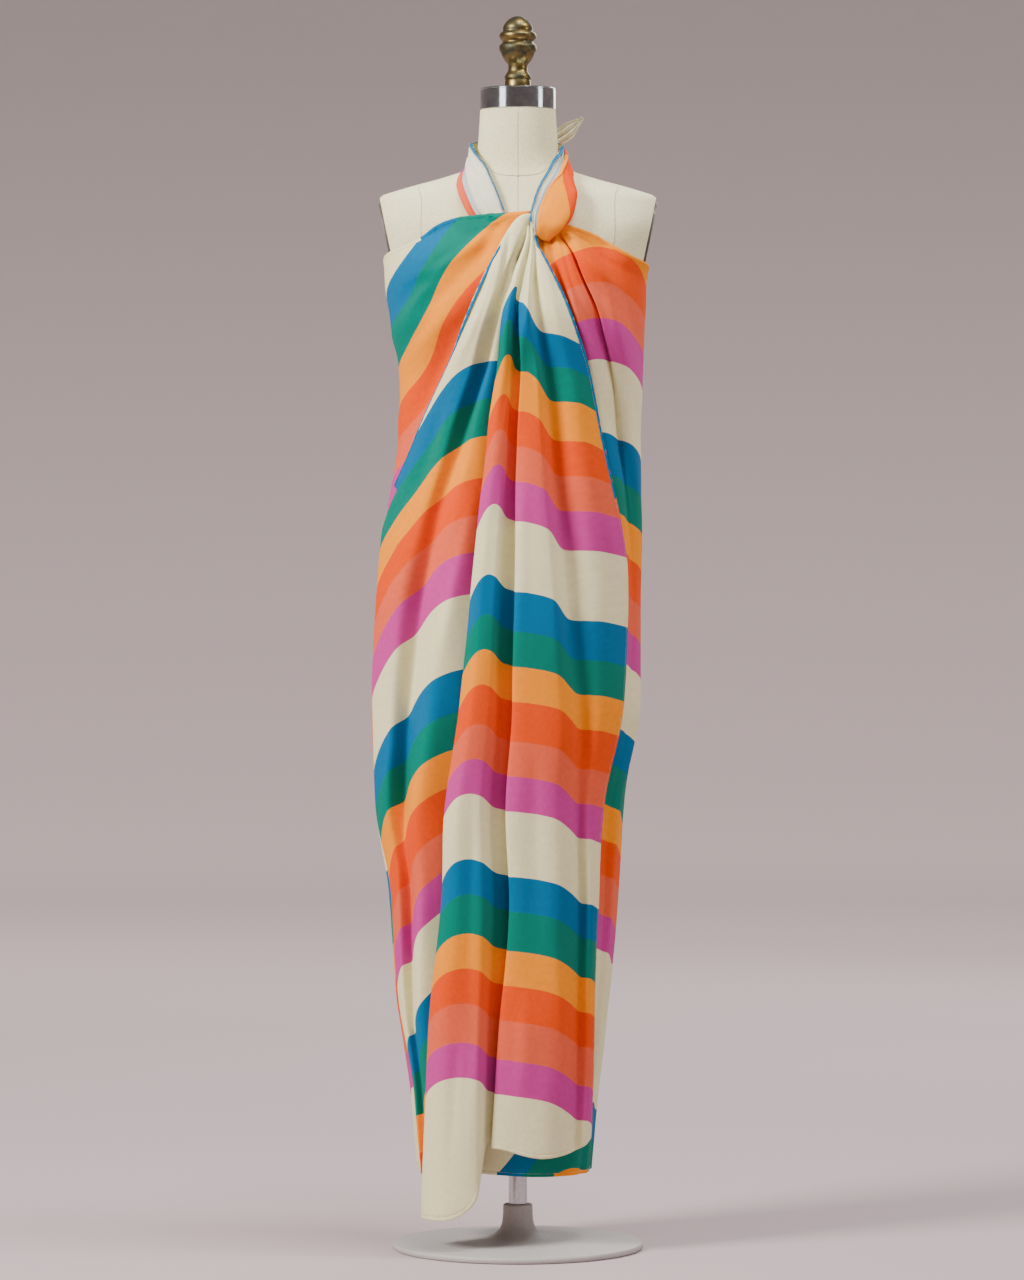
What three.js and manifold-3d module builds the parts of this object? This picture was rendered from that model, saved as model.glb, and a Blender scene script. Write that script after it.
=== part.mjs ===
// Halter wrap dress: one printed cloth wrapped round a limbless dress form, its two upper corners crossed on
// the chest and knotted behind the neck. The form stands on a post and a round foot. Millimetres, +Z up, front
// towards -Y. The origin is on the floor, under the post.
import * as THREE from "three";
import { mergeVertices } from "three/addons/utils/BufferGeometryUtils.js";
import Module from "manifold-3d";

const wasm = await Module();
wasm.setup();

// ---- driving sizes ----
const CLOTH = 1.5; // wall of the cloth
const FIT = 0.3; // gap between two hard pieces that touch
const SEAM_PINCH = 0.1; // degrees that a side seam stands short of the side, on each stretch
const SEAM_REACH = 1; // a point this close to the plane of the side seams is on a seam
const TOP_CROWDING = 1.8; // how much closer the rows of a hanging stretch stand near its top
const FOLD_PITCH = 3.5; // least bearing, in degrees, between two folds beside a side seam
const NECK_RADIUS = 51;
const NECK_TOP = 1545;
const CAP_HEIGHT = 29.6;
const FINIAL_HEIGHT = 97.5;
const TORSO_BOTTOM = 760;
const POST_RADIUS = 12.5;
const FOOT_RADIUS = 170;
const HUB_HEIGHT = 60;
const ARMHOLE = { top: 1421, bottom: 1304, outAtTop: 186, outAtBottom: 162, halfDepth: 38, plate: 3 };

const LINEN = new THREE.MeshStandardMaterial({ color: "#d3cab2", roughness: 0.9, metalness: 0 });
const PRINT = new THREE.MeshStandardMaterial({ color: "#e0752f", roughness: 0.75, metalness: 0 });
const STEEL = new THREE.MeshStandardMaterial({ color: "#b9c0c4", roughness: 0.25, metalness: 1 });
const BRASS = new THREE.MeshStandardMaterial({ color: "#8a6f34", roughness: 0.4, metalness: 1 });
const GREY = new THREE.MeshStandardMaterial({ color: "#77726a", roughness: 0.5, metalness: 0.4 });
const FOOT_PAINT = new THREE.MeshStandardMaterial({ color: "#c9c4bf", roughness: 0.5, metalness: 0.1 });

// ---- small maths ----
const mix = (a, b, t) => a + (b - a) * t;
const clamp = (x, low, high) => Math.min(high, Math.max(low, x));
const radians = THREE.MathUtils.degToRad;
const signedPower = (x, power) => Math.sign(x) * Math.abs(x) ** power;

// A smooth curve through values at rising knots, which never swings past a ridge or a valley.
function through(knots, values, t) {
  const last = knots.length - 1;
  const rate = (k) => (values[k + 1] - values[k]) / (knots[k + 1] - knots[k]);
  const slope = (k) => {
    if (k === 0) return rate(0);
    if (k === last) return rate(last - 1);
    const before = rate(k - 1);
    const after = rate(k);
    return before * after <= 0 ? 0 : (2 * before * after) / (before + after);
  };
  let i = 0;
  while (i < last - 1 && t > knots[i + 1]) i += 1;
  const span = knots[i + 1] - knots[i];
  const s = clamp((t - knots[i]) / span, 0, 1);
  const rise = values[i + 1] - values[i];
  const startPull = slope(i) * span - rise;
  const endPull = rise - slope(i + 1) * span;
  return values[i] + s * rise + s * (1 - s) * ((1 - s) * startPull + s * endPull);
}

// ---- closed solids from grids of points ----
function closedGeometry(points, triangles) {
  const geometry = new THREE.BufferGeometry();
  geometry.setAttribute("position", new THREE.Float32BufferAttribute(points.flatMap((p) => p.toArray()), 3));
  geometry.setIndex(triangles.flat());
  return geometry;
}

// Rings of points, bottom first, each counter-clockwise from above, closed by a fan at both ends.
function loft(rings) {
  const around = rings[0].length;
  const points = rings.flat();
  const triangles = [];
  for (let r = 0; r < rings.length - 1; r += 1)
    for (let k = 0; k < around; k += 1) {
      const a = r * around + k;
      const b = r * around + ((k + 1) % around);
      triangles.push([a, b, b + around], [a, b + around, a + around]);
    }
  for (const [start, atBottom] of [[0, true], [(rings.length - 1) * around, false]]) {
    const middle = new THREE.Vector3();
    for (let k = 0; k < around; k += 1) middle.addScaledVector(points[start + k], 1 / around);
    points.push(middle);
    for (let k = 0; k < around; k += 1) {
      const a = start + k;
      const b = start + ((k + 1) % around);
      triangles.push(atBottom ? [points.length - 1, b, a] : [points.length - 1, a, b]);
    }
  }
  return closedGeometry(points, triangles);
}

// A wall of even thickness on a grid of middle points: rows from the top down, columns from left to right as
// seen from outside. At a side seam, which runs in the plane y = 0, the end of the wall is square to the seam.
function wall(rows) {
  const down = rows.length;
  const across = rows[0].length;
  const at = (r, c) => rows[clamp(r, 0, down - 1)][clamp(c, 0, across - 1)];
  const outer = [];
  const inner = [];
  for (let r = 0; r < down; r += 1)
    for (let c = 0; c < across; c += 1) {
      const alongRow = at(r, c + 1).clone().sub(at(r, c - 1));
      const downColumn = at(r + 1, c).clone().sub(at(r - 1, c));
      const out = downColumn.cross(alongRow);
      if (Math.abs(rows[r][c].y) < SEAM_REACH) out.y = 0;
      out.normalize().multiplyScalar(CLOTH / 2);
      outer.push(rows[r][c].clone().add(out));
      inner.push(rows[r][c].clone().sub(out));
    }
  const id = (r, c) => r * across + c;
  const under = outer.length;
  const triangles = [];
  const face = (a, b, c, d) => triangles.push([a, b, c], [a, c, d]);
  for (let r = 0; r < down - 1; r += 1)
    for (let c = 0; c < across - 1; c += 1) {
      face(id(r, c), id(r + 1, c), id(r + 1, c + 1), id(r, c + 1));
      face(under + id(r, c), under + id(r, c + 1), under + id(r + 1, c + 1), under + id(r + 1, c));
    }
  for (let c = 0; c < across - 1; c += 1) {
    const low = down - 1;
    face(id(0, c), id(0, c + 1), under + id(0, c + 1), under + id(0, c));
    face(id(low, c + 1), id(low, c), under + id(low, c), under + id(low, c + 1));
  }
  for (let r = 0; r < down - 1; r += 1) {
    const end = across - 1;
    face(id(r + 1, 0), id(r, 0), under + id(r, 0), under + id(r + 1, 0));
    face(id(r, end), id(r + 1, end), under + id(r + 1, end), under + id(r, end));
  }
  return closedGeometry([...outer, ...inner], triangles);
}

function solidOf(geometry) {
  const plain = geometry.clone();
  plain.deleteAttribute("normal");
  plain.deleteAttribute("uv");
  const merged = mergeVertices(plain, 1e-3);
  const vertProperties = new Float32Array(merged.attributes.position.array);
  const triVerts = new Uint32Array(merged.index.array);
  return new wasm.Manifold(new wasm.Mesh({ numProp: 3, vertProperties, triVerts }));
}

function geometryOf(solid) {
  const mesh = solid.getMesh();
  const geometry = new THREE.BufferGeometry();
  geometry.setAttribute("position", new THREE.BufferAttribute(mesh.vertProperties, 3));
  geometry.setIndex(new THREE.BufferAttribute(mesh.triVerts, 1));
  return geometry;
}

// ---- dress form ----
// Horizontal sections of the linen-covered form, from the hips up. square is the exponent of the superellipse.
const FORM = [
  { height: TORSO_BOTTOM, half: 152, front: 108, back: 112, square: 2.1 },
  { height: 775, half: 157, front: 113, back: 117, square: 2.1 },
  { height: 880, half: 158, front: 117, back: 124, square: 2.1 },
  { height: 960, half: 150, front: 112, back: 108, square: 2.1 },
  { height: 1080, half: 124, front: 98, back: 82, square: 2.1 },
  { height: 1180, half: 141, front: 112, back: 92, square: 2.1 },
  { height: 1255, half: 156, front: 132, back: 102, square: 2.1 },
  { height: 1310, half: 168, front: 118, back: 106, square: 2.1 },
  { height: 1350, half: 182, front: 102, back: 103, square: 2.1 },
  { height: 1395, half: 196, front: 86, back: 92, square: 2.3 },
  { height: 1425, half: 190, front: 72, back: 82, square: 2.3 },
  { height: 1440, half: 150, front: 66, back: 76, square: 2.1 },
  { height: 1452, half: 106, front: 61, back: 70, square: 2 },
  { height: 1466, half: 68, front: 56, back: 62, square: 2 },
  { height: 1490, half: 55, front: 53, back: 56, square: 2 },
  { height: NECK_TOP, half: NECK_RADIUS, front: NECK_RADIUS, back: NECK_RADIUS, square: 2 },
];
const FORM_SIDES = 36;

function superPoint(section, turn) {
  const x = signedPower(Math.sin(turn), 2 / section.square) * section.half;
  const depth = Math.cos(turn) > 0 ? section.front : section.back;
  const y = -signedPower(Math.cos(turn), 2 / section.square) * depth;
  return new THREE.Vector3(x, y, section.height);
}

// Both sides of the form are trimmed flat, leaning outwards to the top, where the armhole plates sit.
const ARMHOLE_LEAN = Math.atan2(ARMHOLE.outAtTop - ARMHOLE.outAtBottom, ARMHOLE.top - ARMHOLE.bottom);
const ARMHOLE_OUT = (ARMHOLE.outAtTop + ARMHOLE.outAtBottom) / 2;
const ARMHOLE_MIDDLE = (ARMHOLE.top + ARMHOLE.bottom) / 2;
const TRIM = { thick: 80, deep: 260, high: 177, raised: 25 }; // the block that each side is trimmed with

// Moves a shape from the origin onto the armhole of one side: side is +1 or -1.
function onArmhole(geometry, side) {
  geometry.rotateY(ARMHOLE_LEAN);
  geometry.translate(ARMHOLE_OUT, 0, ARMHOLE_MIDDLE);
  if (side < 0) geometry.rotateZ(Math.PI);
  return geometry;
}

function armholeTrim(side) {
  const block = new THREE.BoxGeometry(TRIM.thick, TRIM.deep, TRIM.high);
  block.translate(TRIM.thick / 2, 0, TRIM.raised);
  return solidOf(onArmhole(block, side));
}

function armholePlate(side) {
  const halfHeight = (ARMHOLE.top - ARMHOLE.bottom) / 2;
  const oval = new THREE.Shape().absellipse(0, 0, halfHeight, ARMHOLE.halfDepth, 0, 2 * Math.PI);
  const settings = { depth: ARMHOLE.plate, bevelEnabled: false, curveSegments: 14 };
  const plate = new THREE.ExtrudeGeometry(oval, settings);
  plate.rotateY(Math.PI / 2);
  plate.translate(FIT, 0, 0);
  return onArmhole(plate, side);
}

function torso() {
  const turns = Array.from({ length: FORM_SIDES }, (_, k) => (2 * Math.PI * k) / FORM_SIDES);
  const rings = FORM.map((section) => turns.map((turn) => superPoint(section, turn)));
  return geometryOf(solidOf(loft(rings)).subtract(armholeTrim(1)).subtract(armholeTrim(-1)));
}

// A turned piece from [radius, height] pairs that start and end on the axis.
function turned(profile, segments, base) {
  const outline = profile.map(([radius, height]) => new THREE.Vector2(radius, height));
  const geometry = new THREE.LatheGeometry(outline, segments);
  geometry.rotateX(Math.PI / 2);
  geometry.translate(0, 0, base);
  return geometry;
}

const CAP_PROFILE = [
  [0, 0], [NECK_RADIUS - 0.5, 0], [NECK_RADIUS, 1], [NECK_RADIUS, CAP_HEIGHT - 2], [49, CAP_HEIGHT],
  [0, CAP_HEIGHT],
];

const FINIAL_PROFILE = [
  [0, 0], [17.6, 0], [17.6, 10], [18.2, 14], [14.6, 21], [12.9, 27], [13.2, 32], [18, 37.4], [21.8, 44.4],
  [24.4, 49.6], [25.4, 54.6], [23.8, 58.8], [20.9, 62.8], [24.6, 67.4], [25.3, 70.4], [23.4, 74.6], [20.2, 78.4],
  [20, 83], [15.6, 90], [8, 95.6], [0, FINIAL_HEIGHT],
];

const POST_LENGTH = TORSO_BOTTOM - HUB_HEIGHT - 2 * FIT;
const POST_PROFILE = [[0, 0], [POST_RADIUS, 0], [POST_RADIUS, POST_LENGTH], [0, POST_LENGTH]];

const FOOT_PROFILE = [
  [0, 0], [166, 0], [FOOT_RADIUS, 3], [FOOT_RADIUS, 7], [164, 9], [48, 15], [26, 24], [21, 34],
  [20, HUB_HEIGHT], [0, HUB_HEIGHT],
];

// ---- cloth ----
// The inner outline of the hanging cloth, by height: how far it reaches left, right, forward and back.
const OUTLINE = [
  { height: 30, left: -124, right: 86, front: 84, back: 86 },
  { height: 200, left: -140, right: 103, front: 92, back: 92 },
  { height: 340, left: -160, right: 118, front: 98, back: 98 },
  { height: 480, left: -171, right: 132, front: 105, back: 106 },
  { height: 610, left: -190, right: 140, front: 113, back: 116 },
  { height: 745, left: -194, right: 161, front: 121, back: 124 },
  { height: 880, left: -188, right: 162, front: 125, back: 130 },
  { height: 990, left: -175, right: 163, front: 124, back: 118 },
  { height: 1100, left: -158, right: 162, front: 122, back: 104 },
  { height: 1180, left: -155, right: 166, front: 127, back: 104 },
  { height: 1255, left: -168, right: 169, front: 137, back: 110 },
  { height: 1310, left: -177, right: 173, front: 126, back: 114 },
  { height: 1350, left: -182, right: 182, front: 112, back: 112 },
  { height: 1395, left: -192, right: 192, front: 95, back: 102 },
  { height: 1425, left: -192, right: 192, front: 86, back: 96 },
];
const OUTLINE_SQUARE = 2.2;
const OUTLINE_HEIGHTS = OUTLINE.map((row) => row.height);
const OUTLINE_COLUMNS = Object.fromEntries(
  ["left", "right", "front", "back"].map((name) => [name, OUTLINE.map((row) => row[name])]),
);
const outlineAt = (name, z) => through(OUTLINE_HEIGHTS, OUTLINE_COLUMNS[name], z);

// The point of the outline at a bearing (0 is the front, +90 the right side as seen from the front), moved out.
function onOutline(bearing, z, out) {
  const left = outlineAt("left", z);
  const right = outlineAt("right", z);
  const depth = outlineAt(Math.abs(bearing) < 90 ? "front" : "back", z);
  const half = (right - left) / 2;
  const across = signedPower(Math.sin(radians(bearing)), 2 / OUTLINE_SQUARE);
  const forward = signedPower(Math.cos(radians(bearing)), 2 / OUTLINE_SQUARE);
  const away = new THREE.Vector2(
    signedPower(across, OUTLINE_SQUARE - 1) * depth,
    -signedPower(forward, OUTLINE_SQUARE - 1) * half,
  ).normalize();
  const x = (left + right) / 2 + half * across + out * away.x;
  return new THREE.Vector3(x, -depth * forward + out * away.y, z);
}

// The bearing at which a fold stands when it is seen x millimetres across from the front.
function bearingOf(x, z, out) {
  const left = outlineAt("left", z);
  const right = outlineAt("right", z);
  const share = clamp((x - (left + right) / 2) / ((right - left) / 2 + out), -1, 1);
  return THREE.MathUtils.radToDeg(Math.asin(signedPower(share, OUTLINE_SQUARE / 2)));
}

const LEFT = -1000; // as far left as the outline goes
const RIGHT = 1000;
const LEVELS = { top: 0, chest: 0.04, armhole: 0.075, bust: 0.11, waist: 0.23, hip: 0.4, knee: 0.69, hem: 1 };
const KNOTS = Object.values(LEVELS);
const WAIST = 1100;
const HIP = 880;
const KNEE = 500;

// Bearings that crowd into a side seam are set a fold's pitch apart. side is -1, +1 or 0 for none.
function spread(bearings, side) {
  const apart = [...bearings];
  const last = apart.length - 1;
  if (side < 0)
    for (let k = 1; k <= last; k += 1) apart[k] = Math.max(apart[k], apart[k - 1] + FOLD_PITCH);
  if (side > 0)
    for (let k = last - 1; k >= 0; k -= 1) apart[k] = Math.min(apart[k], apart[k + 1] - FOLD_PITCH);
  return apart;
}

// A stretch of cloth that hangs from a gathering point. Each fold is a line down the cloth, a ridge or a valley:
// x is where it runs across and out how far it stands off the outline, both at each level. z has its heights at
// the top, chest, armhole, bust and hem.
function hanging(folds, { columns, rows, side }) {
  const limit = 90 - SEAM_PINCH;
  const lines = folds.map(({ x, out, z: [top, chest, armhole, bust, hem] }) => {
    const heights = [top, chest, armhole, bust, WAIST, HIP, KNEE, hem];
    const bearings = x.map((place, k) => clamp(bearingOf(place, heights[k], out[k]), -limit, limit));
    return { heights, out, bearings };
  });
  const steps = lines.map((_, k) => k);
  const grid = [];
  for (let r = 0; r <= rows; r += 1) {
    const v = (r / rows) ** TOP_CROWDING;
    const heights = lines.map((line) => through(KNOTS, line.heights, v));
    const crowded = lines.map((line) => through(KNOTS, line.bearings, v));
    const bearings = v < LEVELS.chest ? crowded : spread(crowded, side);
    const outs = lines.map((line) => through(KNOTS, line.out, v));
    const row = [];
    for (let c = 0; c <= columns; c += 1) {
      const u = (c / columns) * (lines.length - 1);
      row.push(onOutline(through(steps, bearings, u), through(steps, heights, u), through(steps, outs, u)));
    }
    grid.push(row);
  }
  return wall(grid);
}

const FRONT_CENTRE = [
  { fold: "tuck", x: [12, 7, 2, -7, -27, -48, -86, -116], out: [9, 9.5, 8.5, 9, 12, 14, 13, 12],
    z: [1363, 1336, 1303, 1269, 66] },
  { fold: "left edge", x: [13, 1, -10, -21, -43, -67, -105, -131], out: [10, 14, 16, 17, 21, 22, 23, 23],
    z: [1364, 1336, 1303, 1269, 50] },
  { fold: "left crest", x: [15, 5, -5, -14, -31, -50, -84, -104], out: [11, 16, 19, 21, 26, 33, 39, 43],
    z: [1363, 1336, 1303, 1269, 52] },
  { fold: "shoulder", x: [17, 8, 0, -8, -20, -36, -54, -58], out: [11, 15, 17, 19, 22, 26, 32, 37],
    z: [1362, 1336, 1303, 1269, 80] },
  { fold: "deep valley", x: [19, 11, 4, -2, -8, -16, -21, -38], out: [10, 14, 16, 17, 18, 11, 8, 9],
    z: [1361, 1336, 1303, 1269, 157] },
  { fold: "right part", x: [21, 14, 8, 4, 6, 7, -3, -29], out: [11, 15, 17, 19, 22, 27, 27, 26],
    z: [1360, 1336, 1303, 1269, 149] },
  { fold: "right crest", x: [23, 18, 15, 14, 31, 52, 60, 40], out: [11, 16, 19, 22, 26, 30, 32, 32],
    z: [1359, 1336, 1303, 1269, 135] },
  { fold: "crease", x: [25, 24, 25, 28, 50, 67, 88, 80], out: [10, 13, 14, 16, 17, 20, 23, 25],
    z: [1358, 1336, 1303, 1269, 142] },
  { fold: "flap", x: [27, 32, 39, 47, 88, 109, 101, 94], out: [10, 14, 16, 18, 20, 21, 24, 27],
    z: [1357, 1335, 1303, 1269, 150] },
  { fold: "free edge", x: [30, 41, 57, 71, 115, 149, 112, 100], out: [9, 12, 13, 14, 15, 15, 19, 22],
    z: [1355, 1334, 1302, 1269, 158] },
];

const FRONT_LEFT = [
  { fold: "top edge", x: [11, -92, -150, LEFT, LEFT, LEFT, LEFT, LEFT], out: [12, 9, 10, 3, 3, 3, 3, 3],
    z: [1402, 1392, 1359, 1333, 106] },
  { fold: "bodice ridge", x: [11.5, -78, -132, -168, LEFT, LEFT, LEFT, LEFT], out: [12, 10, 11, 6, 4, 4, 4, 3],
    z: [1401, 1380, 1345, 1290, 106] },
  { fold: "bodice valley", x: [12, -55, -92, -118, -154, LEFT, LEFT, LEFT], out: [12, 7, 4, 2, 4, 5, 4, 3],
    z: [1400, 1360, 1318, 1266, 106] },
  { fold: "overlap", x: [12.5, -28, -46, -64, -138, LEFT, LEFT, LEFT], out: [12, 6, 5, 4, 4, 3, 2, 3],
    z: [1399, 1340, 1305, 1267, 106] },
  { fold: "cream crest", x: [14, -14, -29, -44, -92, -164, -163, -128], out: [13, 14, 14, 13, 13, 10, 9, 6],
    z: [1397, 1336, 1303, 1269, 106] },
  { fold: "long valley", x: [15, -9, -18, -30, -76, -138, -152, -124], out: [12, 9, 7, 6, 3, 3, 4, 3],
    z: [1394, 1336, 1303, 1269, 106] },
  { fold: "long ridge", x: [16, -5, -12, -21, -57, -104, -135, -116], out: [11, 5, 5, 6, 9, 11, 9, 7],
    z: [1390, 1336, 1303, 1269, 106] },
  { fold: "hidden edge", x: [16.5, -2, -6, -12, -33, -52, -92, -100], out: [9, 2, 2, 3, 4, 5, 4, 4],
    z: [1386, 1336, 1303, 1269, 106] },
];

const FRONT_RIGHT = [
  { fold: "hidden edge", x: [40, 25, 22, 20, 3, -22, -44, -52], out: [-6, 0, 0, 0, 0, 0, 0, 0],
    z: [1370, 1330, 1300, 1269, 140] },
  { fold: "inner ridge", x: [44, 42, 45, 48, 54, 56, 29, 16], out: [-6, 4, 5, 6, 6, 5, 2, 2],
    z: [1373, 1333, 1301, 1269, 107] },
  { fold: "inner valley", x: [48, 53, 58, 64, 88, 96, 60, 48], out: [-6, 2, 2, 2, 2, 2, 1, 1],
    z: [1376, 1338, 1303, 1269, 106] },
  { fold: "teal ridge", x: [51, 66, 74, 82, 122, 142, 102, 76], out: [-5, 8, 9, 10, 10, 6, 3, 3],
    z: [1379, 1342, 1305, 1269, 106] },
  { fold: "dark valley", x: [54, 80, 95, 109, 139, 154, 118, 86], out: [-5, 2, 2, 2, 5, 5, 4, 1],
    z: [1382, 1348, 1308, 1269, 106] },
  { fold: "outer ridge", x: [57, 92, 118, 134, 151, RIGHT, 128, 93], out: [-4, 7, 9, 10, 8, 5, 6, 5],
    z: [1384, 1357, 1318, 1275, 106] },
  { fold: "outer valley", x: [59, 102, 136, 156, RIGHT, RIGHT, 134, 96], out: [-4, 4, 5, 4, 5, 4, 3, 2],
    z: [1386, 1364, 1331, 1292, 106] },
  { fold: "top edge", x: [61, 109, 156, RIGHT, RIGHT, RIGHT, RIGHT, RIGHT], out: [-3, 5, 8, 2.5, 3, 3, 3, 3],
    z: [1388, 1371, 1343, 1322, 106] },
];

// The stretch round the back, from the right side through the back to the left side. Its folds grow downwards,
// from foldsStart to foldsFull of its height.
const BACK = {
  rightTop: 1322,
  leftTop: 1333,
  topDip: 20,
  hem: 106,
  off: 3,
  folds: 6,
  rise: 9,
  foldsStart: 0.12,
  foldsFull: 0.75,
  unevenness: 0.035,
  drift: 7,
  crowding: 1.2,
};

function backStretch({ columns, rows }) {
  const grid = [];
  for (let r = 0; r <= rows; r += 1) {
    const v = (r / rows) ** BACK.crowding;
    const grown = THREE.MathUtils.smoothstep(v, BACK.foldsStart, BACK.foldsFull);
    const row = [];
    for (let c = 0; c <= columns; c += 1) {
      const u = c / columns;
      const bearing = mix(90 + SEAM_PINCH, 270 - SEAM_PINCH, u);
      const top = mix(BACK.rightTop, BACK.leftTop, u) - BACK.topDip * Math.sin(Math.PI * u);
      const calmAtSeams = Math.sqrt(Math.sin(Math.PI * u));
      const phase = BACK.folds * (u + BACK.unevenness * Math.sin(BACK.drift * u));
      const wave = 0.5 - 0.5 * Math.cos(2 * Math.PI * phase);
      row.push(onOutline(bearing, mix(top, BACK.hem, v), BACK.off + BACK.rise * grown * calmAtSeams * wave));
    }
    grid.push(row);
  }
  return wall(grid);
}

// ---- neck strands ----
// A folded strip of cloth along a route. Each station has its middle, the direction its face looks in, its half
// width and the depth of its pleats. section lists [across, out] as shares of those.
const LOOK_AHEAD = 0.1; // in stations, for the direction of the route

function strip(route, section, { columns, rows }) {
  const steps = route.map((_, k) => k);
  const marks = section.map((_, k) => k);
  const at = (name, t) => through(steps, route.map((station) => station[name]), t);
  const middle = (t) => new THREE.Vector3(at("x", t), at("y", t), at("z", t));
  const last = route.length - 1;
  const grid = [];
  for (let r = 0; r <= rows; r += 1) {
    const t = (r / rows) * last;
    const ahead = middle(Math.min(t + LOOK_AHEAD, last));
    const along = ahead.sub(middle(Math.max(t - LOOK_AHEAD, 0))).normalize();
    const face = new THREE.Vector3(at("faceX", t), at("faceY", t), at("faceZ", t));
    const out = face.addScaledVector(along, -face.dot(along)).normalize();
    const across = out.clone().cross(along).normalize();
    const row = [];
    for (let c = 0; c <= columns; c += 1) {
      const u = (c / columns) * (section.length - 1);
      const sideways = through(marks, section.map((pair) => pair[0]), u) * at("half", t);
      const outwards = through(marks, section.map((pair) => pair[1]), u) * at("depth", t);
      row.push(middle(t).addScaledVector(across, sideways).addScaledVector(out, outwards));
    }
    grid.push(row);
  }
  return wall(grid);
}

// Both run down from the knot behind the neck, round its side and down to the crossing on the chest.
const HALTER_RIGHT = [
  { x: 33, y: 60, z: 1501, faceX: 0.45, faceY: 0.9, faceZ: 0, half: 12, depth: 4 },
  { x: 52, y: 42, z: 1500, faceX: 0.8, faceY: 0.6, faceZ: 0, half: 14, depth: 4 },
  { x: 63, y: 6, z: 1494, faceX: 1, faceY: 0, faceZ: 0.1, half: 15, depth: 5 },
  { x: 63, y: -28, z: 1482, faceX: 0.85, faceY: -0.4, faceZ: 0.3, half: 18, depth: 6 },
  { x: 59, y: -62, z: 1460, faceX: 0.35, faceY: -0.8, faceZ: 0.5, half: 24, depth: 8 },
  { x: 52, y: -86, z: 1430, faceX: 0.05, faceY: -0.9, faceZ: 0.4, half: 29, depth: 10 },
  { x: 45, y: -99, z: 1400, faceX: 0, faceY: -1, faceZ: 0.2, half: 26, depth: 11 },
  { x: 37, y: -114, z: 1371, faceX: 0, faceY: -1, faceZ: 0, half: 15, depth: 8 },
];
const LOBE_SECTION = [[-1, -0.3], [-0.55, -0.7], [0.5, -0.8], [1, -0.1], [0.8, 0.6], [0.1, 0.9], [-0.55, 0.5]];

const HALTER_LEFT = [
  { x: 0, y: 63, z: 1501, faceX: 0, faceY: 1, faceZ: 0, half: 11, depth: 3 },
  { x: -30, y: 58, z: 1501, faceX: -0.45, faceY: 0.9, faceZ: 0, half: 13, depth: 4 },
  { x: -52, y: 38, z: 1500, faceX: -0.8, faceY: 0.6, faceZ: 0, half: 14, depth: 4 },
  { x: -63, y: 4, z: 1494, faceX: -1, faceY: 0, faceZ: 0.1, half: 15, depth: 5 },
  { x: -65, y: -30, z: 1478, faceX: -0.85, faceY: -0.4, faceZ: 0.35, half: 17, depth: 6 },
  { x: -57, y: -62, z: 1450, faceX: -0.3, faceY: -0.8, faceZ: 0.5, half: 22, depth: 6 },
  { x: -44, y: -85, z: 1418, faceX: 0, faceY: -0.9, faceZ: 0.35, half: 25, depth: 5 },
  { x: -28, y: -98, z: 1384, faceX: 0, faceY: -1, faceZ: 0.3, half: 24, depth: 3 },
];
const PLEATED_SECTION = [[-1, 0], [-0.7, 0.8], [-0.45, -0.3], [-0.1, 0.9], [0.25, -0.3], [0.6, 0.7], [1, 0]];

// The ends that leave the knot: one stands up beside the neck, the other hangs down the back.
const TIE_UP = [
  { x: 35, y: 73, z: 1506, faceX: 0.3, faceY: 1, faceZ: 0, half: 7, depth: 3 },
  { x: 52, y: 70, z: 1514, faceX: 0.3, faceY: 1, faceZ: -0.2, half: 11, depth: 4 },
  { x: 69, y: 65, z: 1525, faceX: 0.4, faceY: 1, faceZ: -0.2, half: 12, depth: 3 },
  { x: 86, y: 60, z: 1539, faceX: 0.4, faceY: 1, faceZ: -0.2, half: 2.5, depth: 1 },
];
const TIE_DOWN = [
  { x: 14, y: 76, z: 1484, faceX: 0, faceY: 1, faceZ: 0.2, half: 8, depth: 3 },
  { x: 8, y: 85, z: 1464, faceX: 0, faceY: 1, faceZ: 0.3, half: 14, depth: 4 },
  { x: 1, y: 93, z: 1438, faceX: 0, faceY: 1, faceZ: 0.3, half: 17, depth: 4 },
  { x: -7, y: 99, z: 1408, faceX: 0, faceY: 1, faceZ: 0.1, half: 5, depth: 2 },
];
const TIE_SECTION = [[-1, 0], [-0.4, 0.8], [0.2, -0.4], [1, 0.3]];

// The knot: rings from the bottom up, each an oval with three soft turns of cloth round it.
const KNOT = { x: 18, y: 70, turns: 3, turnRise: 0.09, twistPerRing: 0.8, sides: 18 };
const KNOT_RINGS = [
  { height: 1487, halfX: 5, halfY: 4 },
  { height: 1489, halfX: 10, halfY: 8 },
  { height: 1495, halfX: 13.5, halfY: 11 },
  { height: 1502, halfX: 14.5, halfY: 12 },
  { height: 1510, halfX: 12.5, halfY: 11 },
  { height: 1516, halfX: 8, halfY: 8 },
  { height: 1518, halfX: 3.5, halfY: 3.5 },
];

function knot() {
  const rings = KNOT_RINGS.map(({ height, halfX, halfY }, r) =>
    Array.from({ length: KNOT.sides }, (_, k) => {
      const turn = (2 * Math.PI * k) / KNOT.sides;
      const swell = 1 + KNOT.turnRise * Math.cos(KNOT.turns * turn + KNOT.twistPerRing * r);
      return new THREE.Vector3(
        KNOT.x + halfX * swell * Math.sin(turn),
        KNOT.y - halfY * swell * Math.cos(turn),
        height,
      );
    }),
  );
  return loft(rings);
}

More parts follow.
